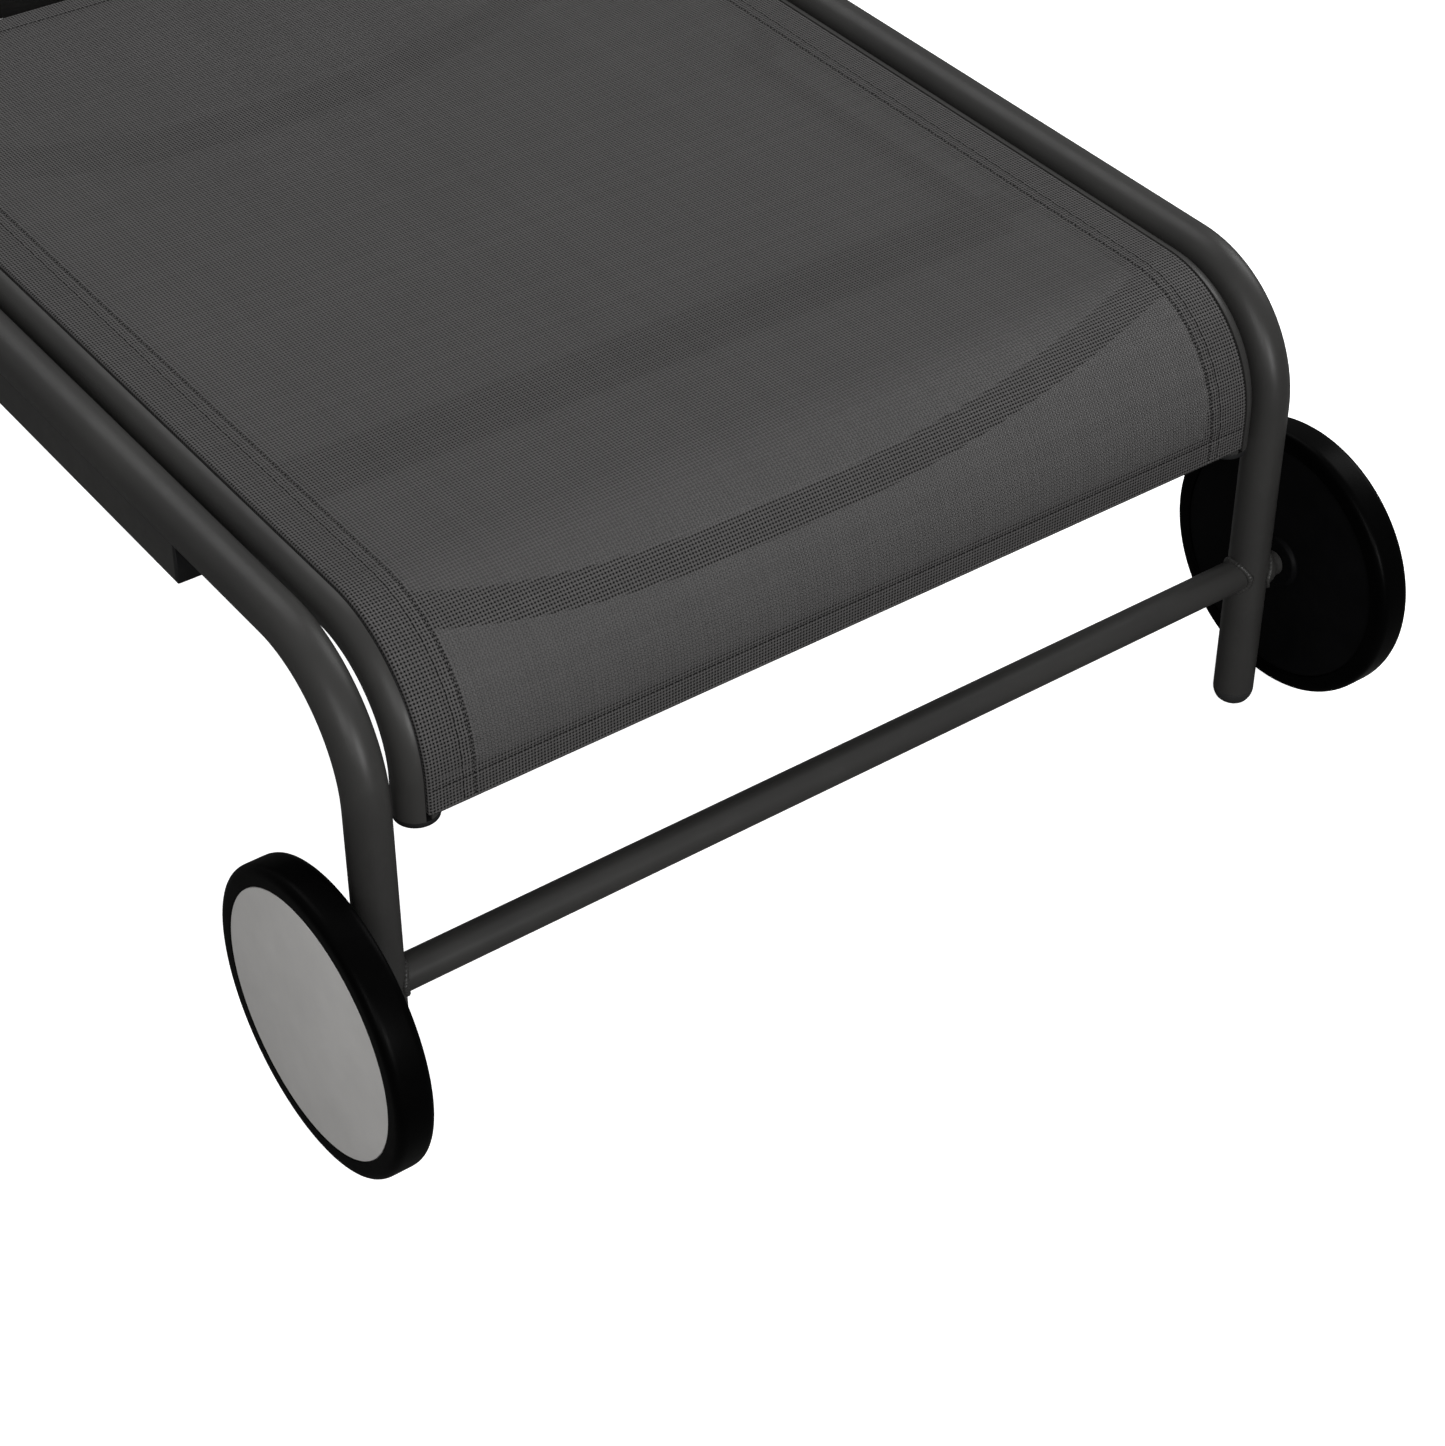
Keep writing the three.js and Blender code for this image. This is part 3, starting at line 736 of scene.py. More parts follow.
def spreaderPiece(name, y, dip, body):
    # a bowed tube: it hangs dip (1 - |x / railX| to the power) under the rails' centre line
    x = np.linspace(-bow["reach"], bow["reach"], bow["steps"])
    railX = lounger["railX"]
    z = lounger["railZ"] - dip * (1 - np.abs(x / railX) ** bow["power"])
    slope = np.sign(x) * dip * bow["power"] / railX * np.abs(x / railX) ** (bow["power"] - 1)
    points = np.column_stack([x, np.full_like(x, y0(y)), z])
    tangents = np.column_stack([np.ones_like(x), np.zeros_like(x), slope])
    tangents /= np.linalg.norm(tangents, axis=1)[:, None]
    rails = [((side * railX, y0(y), lounger["railZ"]), np.array([0.0, 1.0, 0.0]),
              lounger["tubeR"]) for side in (-1, 1)]
    grid, first, last = saddledTube(points, tangents, (0.0, 1.0, 0.0), lounger["barR"],
                                    lounger["tubeWall"], rails)
    piece = meshPiece(f"{name}_smooth", [grid], coat, wrapRows=True)
    settle(piece, body, "coat", name)
    for i, (side, curve) in enumerate((("left", first), ("right", last))):
        heading = tangents[0] if i == 0 else tangents[-1]
        weldBead(f"weld_{name}_{side}", curve, points[-i], heading, body, int(y * 1000) + i,
                 0.8)


for name, y, dip, body in (
        ("backrest_spreader_head", bow["fromEnd"], bow["dip"], "backrest"),
        ("backrest_spreader_hinge", bow["hingeY"], bow["dip"], "backrest"),
        ("seat_spreader_front", bow["frontY"], bow["frontDip"], "frame"),
        ("seat_spreader_middle", bow["middleY"], bow["dip"], "frame"),
        ("seat_spreader_foot", lounger["footLineY"] - bow["fromEnd"], bow["dip"], "frame")):
    spreaderPiece(name, y, dip, body)
print("spreaders ready")


# sling rails and their end plugs
rail = {
    "slot": 0.0036,
    "lip": 0.0006,
    "kederR": 0.004,
    "kederY": 0.0084,
    "headEnd": 0.786,
    "seatStart": 0.819,
    "plugThick": 0.004,
    "plugRound": 0.0014,
    "plugSpigot": 0.008,
    "spigotR": 0.0067,
    "voidY": -0.0045,
}


def railSection():
    # a circle with a slot at its crown that opens into the round keder channel
    half, r = rail["slot"] / 2, lounger["tubeR"]
    edge, mouth = math.asin(half / r), math.asin(half / rail["kederR"])
    lip = rail["lip"] / r
    t = np.pi / 2 + edge + lip + np.linspace(0, 2 * np.pi - 2 * edge - 2 * lip, 72)
    outer = r * np.column_stack([np.cos(t), np.sin(t)])
    t = np.pi / 2 - mouth - np.linspace(0, 2 * np.pi - 2 * mouth, 18)
    channel = np.column_stack([rail["kederR"] * np.cos(t),
                               rail["kederY"] + rail["kederR"] * np.sin(t)])
    top = math.sqrt(r * r - half * half)
    rightLip = np.array([[half + rail["lip"] * 0.3, top - rail["lip"] * 0.1],
                         [half, top - rail["lip"] * 0.8]])
    leftLip = rightLip[::-1] * (-1, 1)
    return np.concatenate([outer, rightLip, channel, leftLip])


def railCorners(x, isHead, tail, end):
    tilt = lounger["legTilt"]
    corner = [x, y0(lounger["railCornerY"]), lounger["railZ"]]
    foot = [x, y0(lounger["railCornerY"] - tail * math.sin(tilt)),
            lounger["railZ"] - tail * math.cos(tilt)]
    if isHead:
        return [foot, corner, [x, y0(end), lounger["railZ"]]]
    return [[x, y0(end), lounger["railZ"]], toFootEnd(corner), toFootEnd(foot)]


def plugPiece(name, x, place, heading, crown, body):
    # a rounded disc over the rail's end with a spigot inside it, turned about its own axis,
    # then about X by `heading`
    r, thick, soft = lounger["tubeR"], rail["plugThick"], rail["plugRound"]
    disc = rounded([[0, 0.0003], [r, 0.0003], [r, thick], [0, thick + 0.0008]],
                   [0, 0.0003, soft, 0], 6)
    spigot = rounded([[0, -rail["plugSpigot"]], [rail["spigotR"], -rail["plugSpigot"]],
                      [rail["spigotR"], 0.0010], [0, 0.0010]], [0, 0.001, 0, 0], 4)
    turn = np.linspace(0, 2 * np.pi, 48, endpoint=False)
    grids = []
    for profile, lift in ((disc, 0.0), (spigot, crown * rail["voidY"])):
        across = profile[:, :1] * np.cos(turn)
        out = np.repeat(profile[:, 1:], 48, 1)
        up = profile[:, :1] * np.sin(turn) + lift
        y = out * math.cos(heading) - up * math.sin(heading)
        z = out * math.sin(heading) + up * math.cos(heading)
        grids.append(np.stack([across + x, y + place[0], z + place[1]], -1)[::-1])
    piece = meshPiece(f"{name}_smooth", grids, blackPlastic, sharp=40)
    settle(piece, body, "black_plastic", name)


for name, side in sides.items():
    x = side * lounger["railX"]
    tilt = lounger["legTilt"]
    for part, isHead, end, body in (("backrest", True, rail["headEnd"], "backrest"),
                                    ("seat", False, rail["seatStart"], "frame")):
        corners = railCorners(x, isHead, lounger["railTail"], end)
        path = bentPath(corners, lounger["railBendR"], 30)
        piece = meshPiece(f"{part}_rail_smooth_{name}", [carried(*path, railSection())],
                          coat, sharp=50)
        settle(piece, body, "coat", f"{part}_rail_{name}")
        low, high = corners[0][1:], corners[-1][1:]
        if isHead:
            plugPiece(f"backrest_plug_head_{name}", x, low, -np.pi / 2 - tilt, -1, body)
            plugPiece(f"backrest_plug_hinge_{name}", x, high, 0.0, 1, body)
        else:
            plugPiece(f"seat_plug_hinge_{name}", x, low, np.pi, -1, body)
            plugPiece(f"seat_plug_foot_{name}", x, high, -np.pi / 2 + tilt, 1, body)
print("rails ready")


# turned pieces: feet, axles, wheels, rivets, prop pins
foot = {
    "sole": 0.0096,
    "round": 0.0045,
    "lip": 0.0088,
    "spigotR": 0.0118,
    "spigotTop": 0.021,
}


def footPiece(name, side, atFoot):
    # turned about the leg's tilted axis, then flattened where it would pass under the floor
    r = lounger["tubeR"]
    profile = rounded([[0, -0.002], [foot["sole"], -0.002], [r, 0.0042], [r, foot["lip"]],
                       [foot["spigotR"], foot["lip"]], [foot["spigotR"], foot["spigotTop"]],
                       [0, foot["spigotTop"]]],
                      [0, 0.002, foot["round"], 0.0003, 0, 0.001, 0], 6)
    turn = np.linspace(0, 2 * np.pi, 56, endpoint=False)
    tilt = lounger["legTilt"]
    across = profile[:, :1] * np.cos(turn)
    back = profile[:, :1] * np.sin(turn)
    up = np.repeat(profile[:, 1:], 56, 1)
    y = back * math.cos(tilt) + up * math.sin(tilt)
    z = np.maximum(up * math.cos(tilt) - back * math.sin(tilt), 0.0)
    base = legPoint(0.0, 0.0)
    grid = np.stack([across + side * lounger["sideX"], y + base[1], z], -1)
    if atFoot:
        grid[..., 1] = -2 * lounger["originY"] + lounger["footLineY"] - grid[..., 1]
    return grid


for name, side in sides.items():
    for end, atFoot in (("head", False), ("foot", True)):
        piece = meshPiece(f"foot_cap_{end}_smooth_{name}", [footPiece(name, side, atFoot)],
                          footPlastic, sharp=40)
        settle(piece, "frame", "black_plastic", f"foot_cap_{end}_{name}")

axleY, axleZ = y0(lounger["axleY"]), lounger["axleZ"]
wheel = {
    "r": 0.0985,
    "inner": 0.3726,
    "outer": 0.3975,
    "coverR": 0.0853,
    "shoulder": 0.0062,
    "sides": 144,
    "bossR": 0.017,
    "boreR": 0.0065,
    "hubX": (0.3702, 0.3734, 0.3774, 0.3876, 0.394),  # boss face, disc, web, bore end, rim
    "rimInside": 0.080,
    "coverX": (0.3943, 0.3973),
}
hinge = {
    "y": 0.768,
    "z": 0.291,
    "propY": 0.49575,   # rivet between prop and backrest
    "restY": 0.2235,    # prop's cross tube with the backrest flat
    "boreR": 0.0043,
}


def wheelPieces(name, side):
    w = wheel
    n = w["sides"]
    bore = w["coverR"] + 0.0004
    tyre = rounded([[w["inner"], bore], [w["inner"], w["r"]], [w["outer"], w["r"]],
                    [w["outer"], bore]],
                   [0.0006, w["shoulder"], w["shoulder"], 0.0006], 8, closed=True)
    piece = meshPiece(f"tyre_smooth_{name}", [turnedAbout(tyre, n, axleY, axleZ, side)],
                      tyreRubber, wrapRows=True, sharp=60)
    settle(piece, f"wheel_{name}", "tyre", f"tyre_{name}")
    rim = w["coverR"] + 0.0002
    bossX, discX, webX, boreX, rimX = w["hubX"]
    bossR, boreR, inside = w["bossR"], w["boreR"], w["rimInside"]
    hub = rounded([[bossX, boreR], [bossX, bossR], [discX, bossR + 0.0015], [discX, rim],
                   [rimX, rim], [rimX, inside], [webX, inside], [webX, bossR],
                   [boreX, bossR], [boreX, boreR]],
                  [0.0004, 0.0012, 0.001, 0.0008, 0, 0, 0, 0, 0, 0], 5, closed=True)
    piece = meshPiece(f"wheel_hub_smooth_{name}", [turnedAbout(hub, n, axleY, axleZ, side)],
                      hubPlastic, wrapRows=True, sharp=40)
    settle(piece, f"wheel_{name}", "black_plastic", f"wheel_hub_{name}")
    coverIn, coverOut = w["coverX"]
    cover = rounded([[coverIn, 0.0], [coverIn, w["coverR"]], [coverOut, w["coverR"]],
                     [coverOut, 0.0]], [0, 0, 0.0006, 0], 5)
    piece = meshPiece(f"wheel_cover_smooth_{name}",
                      [turnedAbout(cover, n, axleY, axleZ, side)], coverGrey, sharp=40)
    settle(piece, f"wheel_{name}", "cover_grey", f"wheel_cover_{name}")


turnedParts = {
    # node: (body, slot, material, y, z, [(x, radius), ...], corner radii)
    "stub_axle": ("frame", "coat", coat, axleY, axleZ,
                  [[0.352, 0], [0.352, 0.0128], [0.361, 0.0112], [0.3645, 0.0088],
                   [0.3698, 0.0088], [0.3698, 0.006], [0.3914, 0.006], [0.3914, 0]],
                  [0, 0, 0.003, 0.002, 0.0006, 0, 0.0008, 0]),
    "axle_retainer": ("frame", "steel", zincSteel, axleY, axleZ,
                      [[0.388, 0.0063], [0.388, 0.011], [0.390, 0.011], [0.390, 0.0063]],
                      [0, 0.0005, 0.0005, 0]),
    "hinge_rivet": ("frame", "steel", zincSteel, y0(hinge["y"]), hinge["z"],
                    [[0.3126, 0], [0.3126, 0.005], [0.3157, 0.007], [0.3167, 0.007],
                     [0.3167, 0.004], [0.3214, 0.004], [0.3214, 0.0065], [0.3278, 0.0065],
                     [0.3278, 0.004], [0.3336, 0.004], [0.3336, 0.006], [0.3364, 0.005],
                     [0.3364, 0]],
                    [0, 0.0015, 0.0004, 0.0004, 0, 0, 0.0004, 0.0004, 0, 0, 0.001, 0.0015, 0]),
    "prop_rivet": ("backrest", "steel", zincSteel, y0(hinge["propY"]), hinge["z"],
                   [[0.274, 0], [0.274, 0.005], [0.2766, 0.006], [0.2766, 0.004],
                    [0.2934, 0.004], [0.2934, 0.0065], [0.2986, 0.0065], [0.2986, 0.004],
                    [0.3033, 0.004], [0.3033, 0.007], [0.3043, 0.007], [0.307, 0.005],
                    [0.307, 0]],
                   [0, 0.0015, 0.001, 0, 0, 0.0004, 0.0004, 0, 0, 0.0004, 0.0004, 0.0015, 0]),
    "prop_pin": ("prop", "black_plastic", blackPlastic, y0(hinge["restY"]), hinge["z"],
                 [[0.280, 0], [0.280, 0.0118], [0.2943, 0.0118], [0.2943, 0.014],
                  [0.2964, 0.014], [0.2966, 0.005], [0.3505, 0.005], [0.3505, 0]],
                 [0, 0.001, 0, 0.0008, 0.0008, 0, 0.0016, 0]),
}
for name, side in sides.items():
    wheelPieces(name, side)
    for node, (body, slot, material, y, z, profile, radii) in turnedParts.items():
        closed = profile[0][1] > 0
        grid = turnedAbout(rounded(profile, radii, 5, closed=closed), 48, y, z, side)
        piece = meshPiece(f"{node}_smooth_{name}", [grid], material, wrapRows=closed, sharp=40)
        settle(piece, body, slot, f"{node}_{name}")
    # bead where the axle boss is welded to the leg
    turn = np.linspace(0, 2 * np.pi, 40, endpoint=False)
    r, x = 0.0125, side * lounger["sideX"]
    y = r * np.cos(turn)
    reach = np.sqrt(lounger["tubeR"] ** 2 - y ** 2)
    curve = np.column_stack([x + side * reach, axleY + y, axleZ + r * np.sin(turn)])
    weldBead(f"weld_axle_{name}", curve, (x, axleY, axleZ), np.array([1.0, 0, 0]), "frame",
             21 + side, 0.8)
print("turned pieces ready")


# prop
propLook = {
    "armX": 0.285,
    "armR": 0.008,
    "tipReach": 0.009,   # past the rivet
    "tubeHalf": 0.294,
}


def propPiece():
    # cross tube: outside out and inside back; each arm: a round bar with a domed tip, its
    # radius falling as a quarter circle
    at = np.array([[-propLook["tubeHalf"], y0(hinge["restY"]), hinge["z"]],
                   [propLook["tubeHalf"], y0(hinge["restY"]), hinge["z"]]])
    heading = np.repeat([[1.0, 0.0, 0.0]], 2, 0)
    tube = tubeShell(at, heading, lounger["tubeR"], lounger["tubeWall"], 56, (0.0, 1.0, 0.0))
    piece = meshPiece("prop_bail_smooth", [tube], coat, wrapRows=True)
    settle(piece, "prop", "coat", "prop_bail")
    for name, side in sides.items():
        tip = np.linspace(0, np.pi / 2, 10)
        reach = hinge["propY"] + propLook["tipReach"] - propLook["armR"]
        along = np.r_[hinge["restY"] + 0.011, reach, reach + propLook["armR"] * np.sin(tip[1:])]
        radius = np.r_[propLook["armR"], propLook["armR"],
                       np.maximum(propLook["armR"] * np.cos(tip[1:]), 1e-5)]
        turn = np.linspace(0, 2 * np.pi, 36, endpoint=False)
        grid = np.stack([
            side * propLook["armX"] + radius[:, None] * np.cos(turn),
            np.repeat(y0(along)[:, None], 36, 1),
            hinge["z"] + radius[:, None] * np.sin(turn)], -1)
        arm = meshPiece(f"prop_arm_smooth_{name}", [grid[:, ::-1]], coat)
        bored(arm, side, (0.270, 0.300), hinge["boreR"], y0(hinge["propY"]), hinge["z"])
        settle(arm, "prop", "coat")
        armR = propLook["armR"]
        curve = np.column_stack([
            side * propLook["armX"] + armR * np.cos(turn),
            y0(hinge["restY"]) + np.sqrt(lounger["tubeR"] ** 2 - (armR * np.sin(turn)) ** 2),
            hinge["z"] + armR * np.sin(turn)])
        weldBead(f"weld_prop_{name}", curve, (side * propLook["armX"], y0(hinge["restY"]),
                                              hinge["z"]), np.array([0, 1.0, 0]), "prop",
                 31 + side, 0.7)


propPiece()


# racks under the side tubes, and the hinge plates
rack = {
    "x": (0.336, 0.356),
    "z": 0.2796,
    "y": (0.194, 0.640),
    "slotX": 0.352,
    "slotZ": (0.285, 0.297),
    "notchR": 0.0055,
    "notchAngles": (20, 35, 48, 60, 70),
    "soft": 0.0014,
    "cap": 0.003,
    "slotEnds": (0.011, 0.012),   # slot past the first and the last place of the prop's pin
    "notchRise": 0.0016,          # notch centre above the slot's floor
}


def rackOutline(depth, floor):
    # the rack's section at one place: down the outside, along the bottom, in and out of the
    # slot, then back under the round side tube; depth is the slot's, floor its lowest height
    x0, x1 = rack["x"]
    r, cx, cz = lounger["tubeR"], lounger["sideX"], lounger["sideZ"]
    s, bottom, top = rack["soft"], rack["z"], rack["slotZ"][1]
    turn = np.linspace(0, np.pi / 2, 6)
    outerBend = np.column_stack([x1 - s + s * np.cos(-turn), bottom + s + s * np.sin(-turn)])
    innerBend = np.column_stack([x0 + s - s * np.sin(turn), bottom + s - s * np.cos(turn)])
    slot = np.array([[x0, floor], [x0 + depth, floor], [x0 + depth, top], [x0, top]])
    reach = np.linspace(x0 - cx, x1 - cx, 12)
    under = np.column_stack([cx + reach, cz - np.sqrt(r * r - reach * reach)])
    return np.concatenate([outerBend, innerBend, slot, under])


def rackPiece(name, side):
    lever = hinge["y"] - hinge["restY"]
    notches = hinge["y"] - lever * np.cos(np.radians(rack["notchAngles"]))
    steepest = math.radians(rack["notchAngles"][-1])
    slotY = (hinge["restY"] - rack["slotEnds"][0],
             hinge["y"] - lever * math.cos(steepest) + rack["slotEnds"][1])
    fine = np.concatenate([notch + np.linspace(-1, 1, 21) * rack["notchR"] for notch in notches])
    plain = np.array([rack["y"][0], slotY[0] - 1e-5, slotY[0], slotY[1], slotY[1] + 1e-5,
                      rack["y"][1]])
    stations = np.sort(np.concatenate([fine, plain]))
    loops = []
    for y in stations:
        inSlot = slotY[0] <= y <= slotY[1]
        drop = np.sqrt(np.maximum(rack["notchR"] ** 2 - (y - notches) ** 2, 0.0)).max()
        floor = rack["slotZ"][0]
        if drop > 0:
            floor = min(floor, floor + rack["notchRise"] - drop)
        loops.append(rackOutline(rack["slotX"] - rack["x"][0] if inSlot else 1e-5, floor))
    loops = np.array(loops)
    grid = np.stack([side * loops[..., 0],
                     np.repeat(y0(stations)[:, None], loops.shape[1], 1), loops[..., 1]], -1)
    piece = meshPiece(f"rack_smooth_{name}", [grid], coat, sharp=25)
    settle(piece, "frame", "coat", f"rack_{name}")
    outline = rackOutline(1e-5, rack["slotZ"][0])
    middle = outline.mean(0)
    for end, first, last in (("head", rack["y"][0], rack["y"][0] - rack["cap"]),
                             ("hinge", rack["y"][1], rack["y"][1] + rack["cap"])):
        share = np.array([0.0, 0.75, 0.93, 1.0])
        shrink = np.array([1.0, 1.0, 0.97, 0.9])
        loops = middle + (outline - middle)[None] * shrink[:, None, None]
        y = first + (last - first) * share
        cap = np.stack([side * loops[..., 0], np.repeat(y0(y)[:, None], len(outline), 1),
                        loops[..., 1]], -1)
        piece = meshPiece(f"rack_cap_{end}_smooth_{name}", [cap], blackPlastic, sharp=50)
        settle(piece, "frame", "black_plastic", f"rack_cap_{end}_{name}")


plates = {
    # node: (body, from x to x, y, half width, bottom, top)
    "hinge_bracket": ("frame", (0.3282, 0.3332), hinge["y"], 0.014, 0.277, 0.3175),
    "hinge_lug": ("backrest", (0.317, 0.321), hinge["y"], 0.013, 0.278, 0.304),
    "prop_ear": ("backrest", (0.299, 0.303), hinge["propY"], 0.012, 0.279, 0.308),
}
plateSoft = 0.0005   # softened edge


def platePiece(name, side, node, body, xs, y, half, bottom, top):
    # a plate with a round lower end: half circle, then straight up, its edges softened
    turn = np.linspace(np.pi, 2 * np.pi, 25)
    outline = np.concatenate([np.column_stack([half * np.cos(turn), bottom + half
                                               + half * np.sin(turn)]),
                              [[half, top], [-half, top]]])
    middle = np.array([0.0, bottom + half])
    shrink = np.array([1 - plateSoft / half, 1.0, 1.0, 1 - plateSoft / half])
    x = np.array([xs[0], xs[0] + plateSoft, xs[1] - plateSoft, xs[1]])
    loops = middle + (outline - middle)[None] * shrink[:, None, None]
    grid = np.stack([np.repeat(side * x[:, None], len(outline), 1), y0(y) + loops[..., 0],
                     loops[..., 1]], -1)
    piece = meshPiece(f"{node}_smooth_{name}", [grid], coat, sharp=30)
    bored(piece, side, (xs[0] - 0.002, xs[1] + 0.002), hinge["boreR"], y0(y), hinge["z"])
    settle(piece, body, "coat", f"{node}_{name}")


standoff = {
    "y": {"front": 0.930, "rear": 1.640},
    "profile": [[0.3263, 0], [0.3263, 0.0062], [0.3276, 0.006], [0.3314, 0.006],
                [0.3327, 0.0062], [0.3327, 0]],   # x and radius
}

for name, side in sides.items():
    rackPiece(name, side)
    for node, plate in plates.items():
        platePiece(name, side, node, *plate)
    for where, y in standoff["y"].items():
        z = (lounger["sideZ"] + lounger["railZ"]) / 2
        grid = turnedAbout(standoff["profile"], 32, y0(y), z, side)
        piece = meshPiece(f"seat_standoff_{where}_smooth_{name}", [grid], coat)
        settle(piece, "frame", "coat", f"seat_standoff_{where}_{name}")
print("racks and plates ready")


# slings
sling = {
    "thick": 0.0005,
    "lift": 0.0148,        # cloth's middle above a rail's centre line
    "slotX": 0.313,
    "inset": 0.004,        # hem, short of the rail's tail end
    "headEnd": 0.776,
    "seatStart": 0.827,
    "fold": 0.00065,
    "hem": 0.020,
    "hemSeam": 0.0165,
    "sideSeams": (0.0230, 0.0305),   # from the slot
    "sideHem": 0.0322,
    "weaveShift": (0.0011, 0.0009),  # of the layer underneath, so its holes don't line up
    "sag": 0.003,
    "sagFrom": (0.16, 0.42),   # from the first end: none, then all of it
    "sagTo": (0.02, 0.2),      # from the other end
    "pucker": 0.00030,
    "puckerPitch": 0.0135,
    "puckerWide": 0.0075,
    "seamDip": 0.00022,
    "seamWide": 0.0008,
    "step": 0.0046,
    "stitch": 0.0034,
    "stitchLong": 0.0027,
    "threadR": 0.00038,
    "kederR": 0.0029,
    "underGap": 0.00035,       # between the cloth and the side hem's second layer
}


def edgeProfile():
    # half of the cloth's section: flat, then over a small bend and down into the slot;
    # columns are place across, height, and distance along the cloth from the middle
    seams = sling["slotX"] - np.array(sling["sideSeams"])
    fine = np.concatenate([seam + np.array([-0.0022, -0.001, 0.0, 0.001, 0.0022])
                           for seam in seams])
    flat = np.unique(np.round(np.concatenate([
        np.linspace(0, 0.27, 30), np.linspace(0.27, 0.3108, 16), fine]), 6))
    bend = np.array([[0.3118, -0.00012], [0.3125, -0.0004], [0.3129, -0.0009],
                     [0.3130, -0.0018], [0.3130, -0.0046]])
    points = np.concatenate([np.column_stack([flat, np.zeros_like(flat)]), bend])
    steps = np.linalg.norm(np.diff(points, axis=0), axis=1)
    return points, np.r_[0.0, np.cumsum(steps)]


def clothPath(isHead):
    # the cloth's line along the lounger: hem turned under, fold, over the rails, fold, hem
    end = sling["headEnd"] if isHead else sling["seatStart"]
    corners = railCorners(0.0, isHead, lounger["railTail"] - sling["inset"], end)
    points, tangents = bentPath(corners, lounger["railBendR"], 26)
    across = np.array([-1.0, 0.0, 0.0])
    ups = np.cross(tangents, across)
    points = points + ups * sling["lift"]
    s = np.r_[0.0, np.cumsum(np.linalg.norm(np.diff(points, axis=0), axis=1))]
    stations = np.unique(np.concatenate([
        np.linspace(0, s[-1], int(s[-1] / sling["step"])), s,
        [sling["hemSeam"], s[-1] - sling["hemSeam"]]]))
    stations = stations[np.r_[True, np.diff(stations) > 2e-4]]
    points = np.column_stack([np.interp(stations, s, points[:, k]) for k in range(3)])
    tangents = np.column_stack([np.interp(stations, s, tangents[:, k]) for k in range(3)])
    tangents /= np.linalg.norm(tangents, axis=1)[:, None]

    def turnUnder(place, heading, up):
        # half a turn of the fold radius, then the hem; written from the hem's edge
        turn = np.linspace(np.pi, 0, 9)[:-1, None]
        centre = place - up * sling["fold"]
        arc = centre + sling["fold"] * (up * np.cos(turn) - heading * np.sin(turn))
        arcHeading = heading * np.cos(turn) + up * np.sin(turn)
        back = np.linspace(sling["hem"], 0.002, 7)[:, None]
        flat = arc[0] + heading * back
        return (np.concatenate([flat, arc]),
                np.concatenate([np.repeat(-heading[None], 7, 0), arcHeading]))

    up0, up1 = np.cross(tangents[0], across), np.cross(tangents[-1], across)
    under0, head0 = turnUnder(points[0], tangents[0], up0)
    under1, head1 = turnUnder(points[-1], -tangents[-1], up1)
    whole = np.concatenate([under0, points, under1[::-1]])
    heads = np.concatenate([head0, tangents, -head1[::-1]])
    main = np.r_[np.zeros(len(under0)), np.ones(len(points)), np.zeros(len(under1))]
    along = np.r_[0.0, np.cumsum(np.linalg.norm(np.diff(whole, axis=0), axis=1))]
    return whole, heads, main, along


def smoothStep(x, low, high):
    t = np.clip((x - low) / (high - low), 0.0, 1.0)
    return t * t * (3 - 2 * t)


def clothHeight(across, along, length):
    # sag: a parabola across that fades out towards both ends; pucker: a small wave along
    # each side seam; seam: a narrow dip under the thread
    s, a = along[:, None], np.abs(across)[None]
    share = smoothStep(s, *sling["sagFrom"]) * smoothStep(length - s, *sling["sagTo"])
    sag = -sling["sag"] * share * np.maximum(1 - (a / 0.311) ** 2, 0.0)
    wave = np.zeros_like(sag)
    for i, seam in enumerate(sling["sideSeams"]):
        away = (a - (sling["slotX"] - seam)) / sling["puckerWide"]
        beat = np.sin(2 * np.pi * s / sling["puckerPitch"] + 1.7 * i
                      + 1.3 * np.sin(s * 41) + np.sign(across)[None])
        wave += sling["pucker"] * beat * np.exp(-away ** 2)
        inSeam = (a - (sling["slotX"] - seam)) / sling["seamWide"]
        wave -= sling["seamDip"] * np.exp(-inSeam ** 2)
    for place in (sling["hemSeam"], length - sling["hemSeam"]):
        wave -= 0.0002 * np.exp(-((s - place) / 0.0009) ** 2) * (a < 0.30)
    return sag + wave * (a < 0.3105)


def closedLoop(points, thick):
    # a band of the given thickness about a line of section points: one side there, the
    # other side back; points has shape (stations, count, 2)
    step = np.gradient(points, axis=1)
    normal = np.stack([-step[..., 1], step[..., 0]], -1)
    normal /= np.linalg.norm(normal, axis=-1, keepdims=True)
    return np.concatenate([points + normal * thick / 2,
                           (points - normal * thick / 2)[:, ::-1]], 1)


